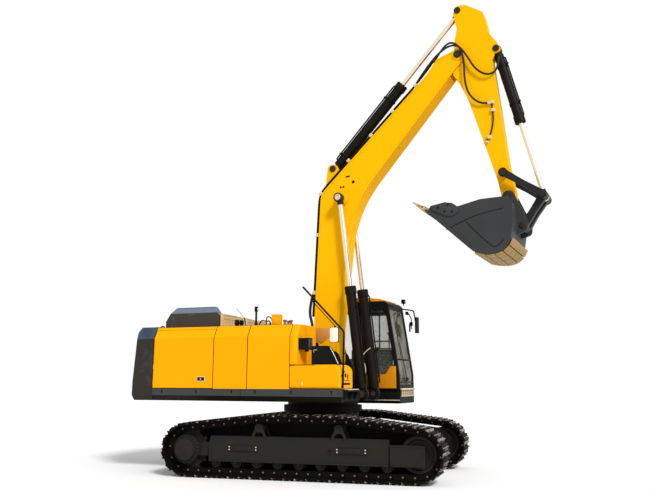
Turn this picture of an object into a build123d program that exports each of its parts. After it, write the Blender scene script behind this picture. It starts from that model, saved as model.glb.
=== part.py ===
from build123d import *
import math
import os

# Crawler excavator, millimetres. It is drawn about its swing axis: +X is the way the upper
# structure faces, +Y is its left (the cab's side) and +Z is up from the ground.

# Whole machine
SWING_AXIS_X = -385  # the swing axis, from the middle of the machine's overall length
SLEW_ANGLE = 5.76  # degrees the tracks are turned under the upper structure

# Tracks
TRACK_GAUGE = 2738
WHEEL_BASE = 4410
WHEEL_HEIGHT = 500  # sprocket and idler centres; also the reach of the shoes' ribs
SHOE_WIDTH = 626
SHOE_PITCH = 216
RIB_HEIGHT = 26
SHOE_THICKNESS = 34
LINK_ABOVE_PIN = 50
LINK_BELOW_PIN = 55
LINK_WIDTH = 55
LINK_SPACING = 150
CARRIER_X = (-770, 765)
CARRIER_RADIUS = 82
CARRIER_HEIGHT = 908
ROLLER_RADIUS = 98
ROLLER_COUNT = 9
ROLLER_SPREAD = 3280
IDLER_RADIUS = 316
DRUM_RADIUS = 235
FRAME_HALF_WIDTH = 185
FRAME_ENDS = (-1750, 1685)
FRAME_WALL = 45
FRAME_BOTTOM = 300
FRAME_TOP = 750

# Towing lugs
TOW_REACH = 850
TOW_HEIGHT = 600
TOW_HOLE = 42
TOW_LUG = 70

# Swing bearing and deck
BEARING_RADIUS = 780
BEARING_TOP = 1300
BEARING_GAP = 5
DECK_BOTTOM = 1400
DECK_TOP = 1620
DECK_HALF_WIDTH = 1375
DECK_FRONT = 700
SIDE_FRONT = 985
SIDE_HALF_WIDTH = DECK_HALF_WIDTH + 115
SEAM = 5

# Body panels
SHOULDER_HEIGHT = DECK_TOP + 980
ROOF_RISE = 220  # the sloped band between the side panels and the roof
ROOF_HEIGHT = SHOULDER_HEIGHT + ROOF_RISE
SHOULDER_HALF_WIDTH = SIDE_HALF_WIDTH - 18
ROOF_HALF_WIDTH = SHOULDER_HALF_WIDTH - 127
PANEL = 50
DOOR_SWING_GAP = 16  # room for a side door's inner edge as it swings out
KNUCKLE_RADIUS = 9
TAIL_RADIUS = 3850
TAIL_SEAM = -3065
TANK_REAR = -1675
TANK_SEAM = -935
TANK_FRONT = 95
BOOM_BAY = 380
TANK_INNER = 600
CAB_REAR = -350

# Cab
CAB_RIGHT = 500
CAB_LEFT = 1480
CAB_FLOOR = 1595
CAB_MOUNT = 30
CAB_WALL = 50
SILL_FRONT = 1455
ROOF_FRONT = 1225
CAB_ROOF = 3385
DOOR_REAR = 300
DOOR_GAP = 8

# Work equipment, pin positions as (x, z)
BOOM_FOOT = (250, 2200)
BOOM_TIP = (2970, 8160)
LIFT_FOOT = (980, 1520)
LIFT_EYE = (510, 5420)
ARM_RAM_FOOT = (270, 6110)
ARM_RAM_EYE = (2980, 9100)
BUCKET_RAM_FOOT = (3720, 8190)
ARM_TIP = (3862, 5199)
LINK_ON_ARM = (3799, 5645)
LINK_END = (4505, 5169)
LINK_ON_BUCKET = (4122, 4607)
BOOM_HALF_WIDTH = 210
FLANGE = 28  # width of the boom plates' raised edge
FLANGE_STEP = 12
ARM_HALF_WIDTH = 165
SIDE_PLAY = 7
LIFT_RAM_Y = 345
PIN_PLAY = 0.05
FOOT_PIN = 55
TIP_PIN = 55
RAM_PIN = 45
BUCKET_HALF_WIDTH = 775
BUCKET_WALL = 30
TIP_BOSS_HALF_WIDTH = 225
EAR_THICKNESS = 48
LINK_LANE = (296, 336)
BUCKET_OPEN = 135  # degrees from the pose at rest

os.makedirs("parts", exist_ok=True)


def keep(piece, name, turned=False):
    """Sets a finished piece in the machine's frame and writes it."""
    if turned:
        piece = piece.rotate(Axis.Z, SLEW_ANGLE)
    piece = piece.moved(Location((SWING_AXIS_X, 0, 0)))
    piece.label = name
    export_step(piece, f"parts/{name}.step")


def outline(rows, y=0.0, holes=()):
    """A face on the vertical plane at y. Rows are (x, z, corner radius), holes (x, z, radius)."""
    with BuildSketch(Plane.XZ.offset(-y)) as drawn:
        with BuildLine():
            corners = [(x, z) for x, z, radius in rows]
            FilletPolyline(*corners, radius=[radius for x, z, radius in rows], close=True)
        make_face()
        for x, z, radius in holes:
            with Locations((x, z)):
                Circle(radius, mode=Mode.SUBTRACT)
    return drawn.sketch


def plate(rows, y_low, y_high, holes=(), mode=Mode.ADD):
    """A plate that follows an outline in the side view, between two distances from the middle."""
    return extrude(outline(rows, y_low, holes), amount=y_low - y_high, mode=mode)


def both_plates(rows, inner, outer, holes=(), mode=Mode.ADD):
    """The same plate on the right and on the left."""
    plate(rows, inner, outer, holes, mode)
    plate(rows, -outer, -inner, holes, mode)


def disc(centre, radius, y_low, y_high, mode=Mode.ADD):
    """A round boss or bore along Y at an (x, z) centre."""
    with BuildSketch(Plane.XZ.offset(-y_low)) as drawn:
        with Locations(centre):
            Circle(radius)
    return extrude(drawn.sketch, amount=y_low - y_high, mode=mode)


def both_discs(centre, radius, inner, outer, mode=Mode.ADD):
    """The same boss or bore on the right and on the left."""
    disc(centre, radius, inner, outer, mode)
    disc(centre, radius, -outer, -inner, mode)


def block(x, y, z, mode=Mode.ADD):
    """A box between low and high limits on each axis."""
    low = (x[0], y[0], z[0])
    with Locations(low):
        return Box(
            x[1] - x[0], y[1] - y[0], z[1] - z[0],
            align=(Align.MIN, Align.MIN, Align.MIN), mode=mode,
        )


def section(rows, x):
    """A face across the machine at x. Rows are (y, z)."""
    with BuildSketch(Plane.YZ.offset(x)) as drawn:
        with BuildLine():
            Polyline(*rows, close=True)
        make_face()
    return drawn.sketch


def mirrored(rows):
    """The rows with the sign of y changed, in the same turning direction."""
    return [(-y, z) for y, z in reversed(rows)]


def beam(rows, x_low, x_high, mode=Mode.ADD):
    """A length of the machine between two x values with one cross-section."""
    return extrude(section(rows, x_low), amount=x_high - x_low, mode=mode)


def toward(start, end):
    """The direction and distance between two (x, z) points."""
    run = Vector(end[0] - start[0], 0, end[1] - start[1])
    return run.normalized(), run.length


# ---------------------------------------------------------------- undercarriage
half_base = WHEEL_BASE / 2
shoe_back = LINK_ABOVE_PIN
shoe_face = shoe_back + SHOE_THICKNESS
rib_top = shoe_face + RIB_HEIGHT
pin_radius = WHEEL_HEIGHT - rib_top
carrier_pin_radius = CARRIER_RADIUS + 10 + LINK_BELOW_PIN

with BuildSketch(Plane.XZ) as belt:
    with BuildLine():
        for x in (-half_base, half_base):
            CenterArc((x, WHEEL_HEIGHT), pin_radius, 0, 360)
        for x in CARRIER_X:
            CenterArc((x, CARRIER_HEIGHT), carrier_pin_radius, 0, 360)
    make_hull()
belt_line = belt.sketch.face().outer_wire()
shoe_count = round(belt_line.length / SHOE_PITCH)
pins = [belt_line @ (step / shoe_count) for step in range(shoe_count)]
belt_middle = Vector(0, 0, WHEEL_HEIGHT)

# One shoe's rib profile: share of the pitch from its middle, height over the pin line
SHOE_PROFILE = (
    (-0.50, shoe_back + 4), (-0.45, rib_top), (-0.36, shoe_face), (0.13, rib_top), (0.19, shoe_face),
)
spans = []
for here, there in zip(pins, pins[1:] + pins[:1]):
    along = (there - here).normalized()
    outward = along.cross(Vector(0, 1, 0))
    if outward.dot((here + there) / 2 - belt_middle) < 0:
        outward = -outward
    spans.append((here, there, outward))


def belt_ring(height):
    """The closed line at one height over the pin line, bent at each pin."""
    ring = []
    for (_, _, before), (pin, _, after) in zip(spans[-1:] + spans[:-1], spans):
        lean = (before + after).normalized()
        ring.append(pin + lean * (height / lean.dot(after)))
    return [(point.X, point.Z) for point in ring]


tread = []
for here, there, outward in spans:
    for share, height in SHOE_PROFILE:
        point = here + (there - here) * (share + 0.5) + outward * height
        tread.append((point.X, point.Z))

with BuildPart() as track:
    with BuildSketch(Plane.XZ.offset(-SHOE_WIDTH / 2)) as shoes:
        with BuildLine():
            Polyline(*tread, close=True)
        make_face()
        with BuildLine():
            Polyline(*belt_ring(shoe_back), close=True)
        make_face(mode=Mode.SUBTRACT)
    extrude(amount=SHOE_WIDTH)
    for rail in (-1, 1):
        rail_start = rail * LINK_SPACING / 2 - LINK_WIDTH / 2
        with BuildSketch(Plane.XZ.offset(-rail_start - LINK_WIDTH)) as links:
            with BuildLine():
                Polyline(*belt_ring(shoe_back + 5), close=True)
            make_face()
            with BuildLine():
                Polyline(*belt_ring(-LINK_BELOW_PIN), close=True)
            make_face(mode=Mode.SUBTRACT)
        extrude(amount=LINK_WIDTH)

# Side frame: a roofed beam over a channel for the rollers
roof_start = FRAME_TOP - 135
FRAME_SECTION = (
    (-FRAME_HALF_WIDTH, FRAME_BOTTOM), (-FRAME_HALF_WIDTH, roof_start), (-110, FRAME_TOP),
    (110, FRAME_TOP), (FRAME_HALF_WIDTH, roof_start), (FRAME_HALF_WIDTH, FRAME_BOTTOM),
    (FRAME_HALF_WIDTH - FRAME_WALL, FRAME_BOTTOM), (FRAME_HALF_WIDTH - FRAME_WALL, 390),
    (FRAME_WALL - FRAME_HALF_WIDTH, 390), (FRAME_WALL - FRAME_HALF_WIDTH, FRAME_BOTTOM),
)
frame_inner = FRAME_HALF_WIDTH - FRAME_WALL
YOKE_BOTTOM, YOKE_TOP, YOKE_FRONT = 290, 662, 2330
YOKE = [
    (FRAME_ENDS[1] - 60, YOKE_BOTTOM, 0), (YOKE_FRONT, YOKE_BOTTOM, 20), (YOKE_FRONT, YOKE_TOP, 20),
    (FRAME_ENDS[1] - 60, YOKE_TOP, 0),
]
YOKE_GUARD = [
    (FRAME_ENDS[1] + 25, YOKE_BOTTOM, 0), (YOKE_FRONT, YOKE_BOTTOM, 20), (YOKE_FRONT, YOKE_TOP, 20),
    (FRAME_ENDS[1] + 25, YOKE_TOP, 0),
]
yoke_face = FRAME_HALF_WIDTH - 25
DRIVE_PLATE = [
    (FRAME_ENDS[0] + 200, 400, 0), (FRAME_ENDS[0] + 200, 650, 0),
    (-half_base + 200, 620, 60), (-half_base + 200, 380, 60),
]
OUTSIDE = {"right": -1, "left": 1}

for side, sign in OUTSIDE.items():
    with BuildPart() as track_frame:
        beam(FRAME_SECTION, *FRAME_ENDS)
        both_plates(YOKE, frame_inner, yoke_face)
        both_plates(YOKE_GUARD, yoke_face, FRAME_HALF_WIDTH + 6)
        both_plates(DRIVE_PLATE, frame_inner - 55, frame_inner)
        disc((-half_base, WHEEL_HEIGHT), DRUM_RADIUS + 5, -200, 200, mode=Mode.SUBTRACT)
        both_discs((half_base, WHEEL_HEIGHT), 95, frame_inner - 15, FRAME_HALF_WIDTH + 12)
        for x in CARRIER_X:
            bracket = [
                (x - 137, roof_start, 0), (x - 137, 780, 60), (x - 85, 870, 40), (x - 75, 985, 60),
                (x + 75, 985, 60), (x + 85, 870, 40), (x + 137, 780, 60), (x + 137, roof_start, 0),
                (x + 90, roof_start, 0), (x + 90, 835, 85), (x - 90, 835, 85), (x - 90, roof_start, 0),
            ]
            both_plates(bracket, 112, 145)
        outer_face = sign * FRAME_HALF_WIDTH
        for step_start, step_end in ((-1350, -770), (730, 1300)):
            step = (min(outer_face, outer_face + sign * 25), max(outer_face, outer_face + sign * 25))
            block((step_start, step_end), step, (490, 590))
        slot = (min(outer_face, outer_face - sign * 20), max(outer_face, outer_face - sign * 20))
        with BuildSketch(Plane.XZ.offset(-slot[1])) as hand_hole:
            with Locations((605, 500)):
                SlotOverall(104, 66, rotation=90)
        extrude(hand_hole.sketch, amount=slot[1] - slot[0], mode=Mode.SUBTRACT)
    centre_line = Location((0, sign * TRACK_GAUGE / 2, 0))
    keep(track_frame.part.moved(centre_line), f"track_frame_{side}", turned=True)
    keep(track.part.moved(centre_line), f"track_{side}", turned=True)

# Sprocket with teeth between the links, and the final drive's drum and cover outside it
SPROCKET_TEETH = 11
with BuildPart() as drive:
    with BuildSketch(Plane.XZ.offset(-38)):
        Circle(345)
        with PolarLocations(345, SPROCKET_TEETH):
            Rectangle(90, 70)
    extrude(amount=76)
    disc((0, 0), DRUM_RADIUS, -FRAME_HALF_WIDTH, FRAME_HALF_WIDTH)
    disc((0, 0), 290, 38, 60)
    disc((0, 0), 290, -60, -38)
with BuildPart() as drive_cover:
    with BuildSketch(Plane.XY):
        with BuildLine():
            Polyline(
                (0, 0), (262, 0), (262, 30), (206, 45), (198, 110), (0, 110), close=True,
            )
        make_face()
    revolve(axis=Axis.Y)

idler_web = 60
with BuildPart() as idler:
    with BuildSketch(Plane.XY):
        with BuildLine():
            Polyline(
                (0, 0), (0, frame_inner - 15), (70, frame_inner - 15), (80, 95), (150, idler_web),
                (250, idler_web), (270, 105), (IDLER_RADIUS, 105), (IDLER_RADIUS, 44),
                (IDLER_RADIUS + 18, 38), (IDLER_RADIUS + 18, 0), close=True,
            )
        make_face()
    revolve(axis=Axis.Y)
    mirror(about=Plane.XZ)

roller_height = WHEEL_HEIGHT - pin_radius + LINK_BELOW_PIN + ROLLER_RADIUS + 4


def roller(radius, half_length, spindle):
    """A flanged roller along Y about the origin, with its spindle's ends."""
    with BuildPart() as made:
        with BuildSketch(Plane.XY):
            with BuildLine():
                Polyline(
                    (0, 0), (spindle, 0), (spindle, half_length - 28), (radius * 0.8, half_length - 28),
                    (radius, half_length - 40), (radius, 42), (radius * 0.7, 36), (radius * 0.7, 0),
                    (0, 0),
                )
            make_face()
        revolve(axis=Axis.Y)
        mirror(about=Plane.XZ)
        disc((0, 0), spindle, -half_length, half_length)
    return made.part


bottom_roller = roller(ROLLER_RADIUS, frame_inner, 38)
carrier_roller = roller(CARRIER_RADIUS, 112, 34)
roller_step = ROLLER_SPREAD / (ROLLER_COUNT - 1)
roller_places = [(index * roller_step - ROLLER_SPREAD / 2, roller_height) for index in range(ROLLER_COUNT)]

rollers = []
drives = []
idlers = []
for sign in OUTSIDE.values():
    centre = sign * TRACK_GAUGE / 2
    rollers += [bottom_roller.moved(Location((x, centre, z))) for x, z in roller_places]
    rollers += [carrier_roller.moved(Location((x, centre, CARRIER_HEIGHT))) for x in CARRIER_X]
    idlers.append(idler.part.moved(Location((half_base, centre, WHEEL_HEIGHT))))
    cover = drive_cover.part.rotate(Axis.X, 0 if sign > 0 else 180)
    cover = cover.moved(Location((0, sign * FRAME_HALF_WIDTH, 0)))
    drives.append((drive.part + cover).moved(Location((-half_base, centre, WHEEL_HEIGHT))))
keep(Compound(children=rollers), "track_rollers", turned=True)
keep(Compound(children=idlers), "idlers", turned=True)
keep(Compound(children=drives), "final_drives", turned=True)

# Carbody: a hub under the swing bearing and four legs to the side frames
leg_end = TRACK_GAUGE / 2 - FRAME_HALF_WIDTH
with BuildPart() as carbody:
    with Locations((0, 0, 520)):
        Cylinder(720, 630, align=(Align.CENTER, Align.CENTER, Align.MIN))
    for x_sign in (-1, 1):
        for y_sign in (-1, 1):
            with BuildSketch(Plane.XY.offset(430)) as leg:
                with BuildLine():
                    Polyline(
                        (x_sign * 40, y_sign * 300), (x_sign * 620, y_sign * 330),
                        (x_sign * 1500, y_sign * leg_end), (x_sign * 640, y_sign * leg_end), close=True,
                    )
                make_face()
            extrude(leg.sketch, amount=470)
    for x_sign in (-1, 1):
        tow_low, tow_high = sorted((x_sign * 640, x_sign * (TOW_REACH + 75)))
        block((tow_low, tow_high), (-TOW_LUG / 2, TOW_LUG / 2), (TOW_HEIGHT - 75, TOW_HEIGHT + 75))
        disc((x_sign * TOW_REACH, TOW_HEIGHT), TOW_HOLE, -TOW_LUG, TOW_LUG, mode=Mode.SUBTRACT)
    with Locations((0, 0, 1150)):
        Cylinder(600, 30, align=(Align.CENTER, Align.CENTER, Align.MIN))
keep(carbody.part, "carbody", turned=True)

with BuildPart() as swing_bearing:
    with Locations((0, 0, 1180)):
        Cylinder(BEARING_RADIUS, BEARING_TOP - 1180, align=(Align.CENTER, Align.CENTER, Align.MIN))
keep(swing_bearing.part, "swing_bearing", turned=True)

# ---------------------------------------------------------------- revolving deck
ear_inner = BOOM_HALF_WIDTH + SIDE_PLAY
ear_outer = ear_inner + 65
LUGS = ((LIFT_RAM_Y - 105, LIFT_RAM_Y - 63), (LIFT_RAM_Y + 63, LIFT_RAM_Y + 105))
ram_bore = RAM_PIN + PIN_PLAY
foot_x, foot_z = BOOM_FOOT
lift_x, lift_z = LIFT_FOOT
EAR = [
    (-700, DECK_TOP - 20, 0), (-700, 1750, 40), (foot_x - 160, foot_z + 190, 150),
    (foot_x + 170, foot_z + 140, 150), (640, 1720, 60), (DECK_FRONT, DECK_TOP - 20, 0),
]
lug_radius = 96
LUG = [
    (DECK_FRONT - 60, DECK_BOTTOM + 10, 0), (DECK_FRONT - 60, lift_z + 50, 0),
    (lift_x, lift_z + lug_radius, 0), (lift_x, lift_z - lug_radius, 0),
]
with BuildPart() as deck:
    block((TAIL_SEAM, DECK_FRONT), (-DECK_HALF_WIDTH, DECK_HALF_WIDTH), (DECK_BOTTOM, DECK_TOP))
    block((DECK_FRONT, SIDE_FRONT), (-DECK_HALF_WIDTH, -520), (DECK_BOTTOM, DECK_TOP))
    block((CAB_REAR, SILL_FRONT), (CAB_RIGHT + 20, CAB_LEFT), (1320, CAB_FLOOR - CAB_MOUNT))
    with Locations((0, 0, BEARING_TOP + BEARING_GAP)):
        Cylinder(700, 120, align=(Align.CENTER, Align.CENTER, Align.MIN))
    both_plates(EAR, ear_inner, ear_outer)
    for low, high in LUGS:
        both_plates(LUG, low, high)
        both_discs(LIFT_FOOT, lug_radius, low, high)
    disc(BOOM_FOOT, FOOT_PIN + PIN_PLAY, -ear_outer, ear_outer, mode=Mode.SUBTRACT)
    disc(LIFT_FOOT, ram_bore, -500, 500, mode=Mode.SUBTRACT)
    under_cab = (CAB_REAR - 20, DECK_FRONT), (CAB_RIGHT - 20, CAB_LEFT), (CAB_FLOOR - CAB_MOUNT, DECK_TOP)
    block(*under_cab, Mode.SUBTRACT)
keep(deck.part, "deck")

pin_cap = 18
deck_pins = []
with BuildPart() as boom_foot_pin:
    disc(BOOM_FOOT, FOOT_PIN, -ear_outer - pin_cap, ear_outer + pin_cap)
    both_discs(BOOM_FOOT, FOOT_PIN + 25, ear_outer, ear_outer + pin_cap)
deck_pins.append(boom_foot_pin.part)
for sign in (-1, 1):
    with BuildPart() as lift_pin:
        low, high = LUGS[0][0], LUGS[1][1]
        disc(LIFT_FOOT, RAM_PIN, min(sign * low, sign * high), max(sign * low, sign * high))
        cap_end = high + pin_cap
        disc(LIFT_FOOT, RAM_PIN + 22, min(sign * high, sign * cap_end), max(sign * high, sign * cap_end))
    deck_pins.append(lift_pin.part)
keep(Compound(children=deck_pins), "deck_pins")

BODY_BOTTOM = DECK_BOTTOM - 15
SKIRT = (
    (DECK_HALF_WIDTH, BODY_BOTTOM), (DECK_HALF_WIDTH + 45, BODY_BOTTOM),
    (SIDE_HALF_WIDTH, BODY_BOTTOM + 105), (SIDE_HALF_WIDTH, DECK_TOP), (DECK_HALF_WIDTH, DECK_TOP),
)
skirts = []
SKIRT_RUNS = (  # side, rear end, front end
    (-1, TAIL_SEAM + SEAM, -1075), (-1, -1065, SIDE_FRONT), (1, TAIL_SEAM + SEAM, CAB_REAR - 20),
)
for sign, rear, front in SKIRT_RUNS:
    with BuildPart() as skirt:
        beam(SKIRT if sign > 0 else mirrored(SKIRT), rear, front)
    skirts.append(skirt.part)
keep(Compound(children=skirts), "side_skirts")

# ---------------------------------------------------------------- counterweight
TAIL_TOP = ROOF_HEIGHT + 20
TAIL_PROFILE = (  # distance from the swing axis, height
    (3000, BODY_BOTTOM), (TAIL_RADIUS - 40, BODY_BOTTOM), (TAIL_RADIUS, BODY_BOTTOM + 105),
    (TAIL_RADIUS - 5, DECK_TOP + 130), (TAIL_RADIUS - 80, TAIL_TOP - 100),
    (TAIL_RADIUS - 150, TAIL_TOP), (3000, TAIL_TOP),
)
with BuildPart() as counterweight:
    with BuildSketch(Plane.XZ):
        with BuildLine():
            Polyline(*[(-radius, height) for radius, height in TAIL_PROFILE], close=True)
        make_face()
    revolve(axis=Axis.Z, revolution_arc=80)
    mirror(about=Plane.XZ)
    beam(
        (
            (DECK_HALF_WIDTH + 60, BODY_BOTTOM), (SIDE_HALF_WIDTH, BODY_BOTTOM + 90),
            (SIDE_HALF_WIDTH, DECK_TOP + SEAM), (SHOULDER_HALF_WIDTH, SHOULDER_HEIGHT),
            (ROOF_HALF_WIDTH, TAIL_TOP), (-ROOF_HALF_WIDTH, TAIL_TOP),
            (-SHOULDER_HALF_WIDTH, SHOULDER_HEIGHT), (-SIDE_HALF_WIDTH, DECK_TOP + SEAM),
            (-SIDE_HALF_WIDTH, BODY_BOTTOM + 90), (-DECK_HALF_WIDTH - 60, BODY_BOTTOM),
        ),
        -TAIL_RADIUS - 50, TAIL_SEAM - SEAM, mode=Mode.INTERSECT,
    )
    with Locations((-3400, -700, TAIL_TOP), (-3400, 700, TAIL_TOP)):
        Hole(32, 160)
keep(counterweight.part, "counterweight")

# ---------------------------------------------------------------- body
with BuildPart() as hydraulic_tank:
    beam(
        (
            (-SIDE_HALF_WIDTH, DECK_TOP), (-SHOULDER_HALF_WIDTH, SHOULDER_HEIGHT),
            (-ROOF_HALF_WIDTH, ROOF_HEIGHT), (-BOOM_BAY, ROOF_HEIGHT), (-BOOM_BAY, DECK_TOP),
        ),
        TANK_REAR, TANK_SEAM - SEAM,
    )
keep(hydraulic_tank.part, "hydraulic_tank")

BOX_TOP = DECK_TOP + 445
BOX_SEAM = -40
FUEL_TANK_SECTION = (
    (-SIDE_HALF_WIDTH, DECK_TOP), (-SHOULDER_HALF_WIDTH, SHOULDER_HEIGHT),
    (-ROOF_HALF_WIDTH, ROOF_HEIGHT), (-TANK_INNER, ROOF_HEIGHT), (-TANK_INNER, DECK_TOP),
)
with BuildPart() as fuel_tank:
    beam(FUEL_TANK_SECTION, TANK_SEAM + SEAM, TANK_FRONT)
    front_face = fuel_tank.faces().sort_by(Axis.X)[-1]
    outer_edges = [edge for edge in front_face.edges() if edge.center().Y < -ROOF_HALF_WIDTH - 5]
    fillet(outer_edges, 55)
    block((BOX_SEAM, TANK_FRONT + 1), (-1600, -BOOM_BAY), (DECK_TOP, BOX_TOP + SEAM), Mode.SUBTRACT)
    beam(
        (
            (-SIDE_HALF_WIDTH - 1, DECK_TOP), (-SHOULDER_HALF_WIDTH - 1, SHOULDER_HEIGHT),
            (-ROOF_HALF_WIDTH - 1, ROOF_HEIGHT + 1), (-ROOF_HALF_WIDTH + 12, ROOF_HEIGHT + 1),
            (-SHOULDER_HALF_WIDTH + 12, SHOULDER_HEIGHT - 6), (-SIDE_HALF_WIDTH + 12, DECK_TOP),
        ),
        BOX_SEAM - SEAM, BOX_SEAM, mode=Mode.SUBTRACT,
    )
keep(fuel_tank.part, "fuel_tank")

with BuildPart() as centre_cover:
    block((TANK_REAR, -720), (-BOOM_BAY, BOOM_BAY), (DECK_TOP, ROOF_HEIGHT - 40))
keep(centre_cover.part, "centre_cover")

lid_rear, lid_front, lid_half_width = -3020, -1750, 1150
roof_edge = ROOF_HEIGHT - PANEL
roof_overhang = ROOF_HALF_WIDTH + (SHOULDER_HALF_WIDTH - ROOF_HALF_WIDTH) * PANEL / ROOF_RISE
with BuildPart() as hood_top:
    beam(
        (
            (roof_overhang, roof_edge), (ROOF_HALF_WIDTH, ROOF_HEIGHT),
            (-ROOF_HALF_WIDTH, ROOF_HEIGHT), (-roof_overhang, roof_edge),
        ),
        TAIL_SEAM, TANK_REAR,
    )
    beam(
        (
            (roof_overhang, roof_edge), (ROOF_HALF_WIDTH, ROOF_HEIGHT),
            (BOOM_BAY, ROOF_HEIGHT), (BOOM_BAY, roof_edge),
        ),
        TANK_REAR, CAB_REAR - 50,
    )
    block(
        (lid_rear + 70, lid_front - 60), (-lid_half_width + 70, lid_half_width - 70),
        (ROOF_HEIGHT - 100, ROOF_HEIGHT + 10), Mode.SUBTRACT,
    )
    beam(
        (
            (BOOM_BAY, DECK_TOP), (SHOULDER_HALF_WIDTH - 67, DECK_TOP),
            (SHOULDER_HALF_WIDTH - 67, SHOULDER_HEIGHT - 40), (ROOF_HALF_WIDTH - 45, roof_edge),
            (BOOM_BAY, roof_edge),
        ),
        CAB_REAR - 100, CAB_REAR - 50,
    )
    post = (ROOF_HALF_WIDTH - 95, ROOF_HALF_WIDTH - 35)
    block((TANK_REAR - 30, TANK_REAR - 5), post, (DECK_TOP, roof_edge))
keep(hood_top.part, "hood_top")

# The hood's right edge stands up as a bevelled housing, and its lid lies flat beside it
hood_base = ROOF_HEIGHT + 6
ridge_top = ROOF_HEIGHT + 420
lid_top = ROOF_HEIGHT + 215
ridge_width = 170
with BuildPart() as engine_hood:
    plate(
        [
            (lid_rear, hood_base, 0), (lid_rear, ROOF_HEIGHT + 140, 0), (-2830, ridge_top, 0),
            (-1890, ridge_top, 0), (-1770, ROOF_HEIGHT + 250, 0), (lid_front, hood_base, 0),
        ],
        -lid_half_width, lid_half_width,
    )
    beam(
        (
            (lid_half_width, hood_base), (lid_half_width, lid_top - 60), (lid_half_width - 60, lid_top),
            (ridge_width - lid_half_width, lid_top + 20), (135 - lid_half_width, ridge_top),
            (100 - lid_half_width, ridge_top), (-lid_half_width, ridge_top - 120),
            (-lid_half_width, hood_base),
        ),
        lid_rear - 10, lid_front + 10, mode=Mode.INTERSECT,
    )
    plate(
        [
            (lid_rear + 50, hood_base - 1, 0), (lid_rear + 50, ROOF_HEIGHT + 120, 0),
            (lid_rear + 90, lid_top - 50, 0), (lid_front - 60, lid_top - 50, 0),
            (lid_front - 50, hood_base - 1, 0),
        ],
        100 - lid_half_width, lid_half_width - 100, mode=Mode.SUBTRACT,
    )
    hinge_height = hood_base + KNUCKLE_RADIUS + 9
    for y in (-700, 700):
        disc((lid_rear, hinge_height), KNUCKLE_RADIUS, y - 60, y + 60)
keep(engine_hood.part, "engine_hood")

with BuildPart() as engine:
    block((-2900, -1850), (-800, 700), (DECK_TOP, SHOULDER_HEIGHT - 40))
keep(engine.part, "engine")

# The grille in front of the hood lets the cooling air out
grille_rear, grille_front = lid_front + 12, lid_front + 50
grille_side = 10 - lid_half_width
GRILLE = ((grille_side, ROOF_HEIGHT), (900, ROOF_HEIGHT), (900, lid_top), (grille_side, lid_top + 60))
with BuildPart() as hood_ramp:
    beam(GRILLE, grille_rear, grille_front)
    slat_step = 80
    for index in range(24):
        slat = grille_side + 60 + index * slat_step
        block(
            (grille_front - 16, grille_front + 1), (slat, slat + 45),
            (ROOF_HEIGHT + 40, lid_top - 40), Mode.SUBTRACT,
        )
keep(hood_ramp.part, "hood_ramp")

fittings = []
fitting_y = -1090
upright = (Align.CENTER, Align.CENTER, Align.MIN)
with BuildPart() as breather:
    with Locations((-965, fitting_y, ROOF_HEIGHT)):
        Cylinder(20, 290, align=upright)
    with Locations((-965, fitting_y, ROOF_HEIGHT + 290)):
        Cylinder(32, 92, align=upright)
fittings.append(breather.part)
for x, radius, top in ((-1390, 42, ROOF_HEIGHT + 140), (-1290, 38, ROOF_HEIGHT + 130)):
    with BuildPart() as knob:
        with Locations((x, fitting_y, ROOF_HEIGHT)):
            Cylinder(radius, top - ROOF_HEIGHT, align=upright)
    fittings.append(knob.part)
with BuildPart() as filler_box:
    block((-565, -410), (-1200, -1060), (ROOF_HEIGHT, ROOF_HEIGHT + 210))
fittings.append(filler_box.part)
keep(Compound(children=fittings), "roof_fittings")

box_inner = 820
with BuildPart() as tool_box:
    plate(
        [
            (BOX_SEAM + SEAM, DECK_TOP + SEAM, 0), (BOX_SEAM + SEAM, BOX_TOP, 0),
            (SIDE_FRONT, BOX_TOP, 150), (SIDE_FRONT, DECK_TOP + SEAM, 20),
        ],
        -SIDE_HALF_WIDTH, -box_inner,
    )
    long_edges = tool_box.edges().filter_by(Axis.X).group_by(Axis.Z)[-1].group_by(Axis.Y)
    fillet(long_edges[0], 60)
    fillet(long_edges[-1], 110)
    block((100, 900), (-1400, -900), (DECK_TOP, DECK_TOP + SEAM))
keep(tool_box.part, "tool_box")

cover_y = (-DECK_HALF_WIDTH - 5, -DECK_HALF_WIDTH + 95)
with BuildPart() as step_cover:
    plate(
        [
            (355, BOX_TOP, 0), (355, BOX_TOP + 345, 30), (705, BOX_TOP + 345, 90), (790, BOX_TOP + 190, 200),
            (885, BOX_TOP, 0),
        ],
        *cover_y,
    )
keep(step_cover.part, "step_cover")

# Front step under the tool box, on three gussets
STEP_ENDS = (-DECK_HALF_WIDTH + 5, -810)
GUSSET = [
    (SIDE_FRONT, DECK_TOP - 42, 0), (SIDE_FRONT + 80, DECK_TOP - 42, 0),
    (SIDE_FRONT + 30, DECK_TOP - 190, 0), (SIDE_FRONT, DECK_TOP - 190, 0),
]
with BuildPart() as front_step:
    block((SIDE_FRONT, SIDE_FRONT + 95), STEP_ENDS, (DECK_TOP - 42, DECK_TOP - 6))
    for start in (STEP_ENDS[0], sum(STEP_ENDS) / 2, STEP_ENDS[1] - 14):
        plate(GUSSET, start, start + 14)
keep(front_step.part, "front_step")

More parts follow.
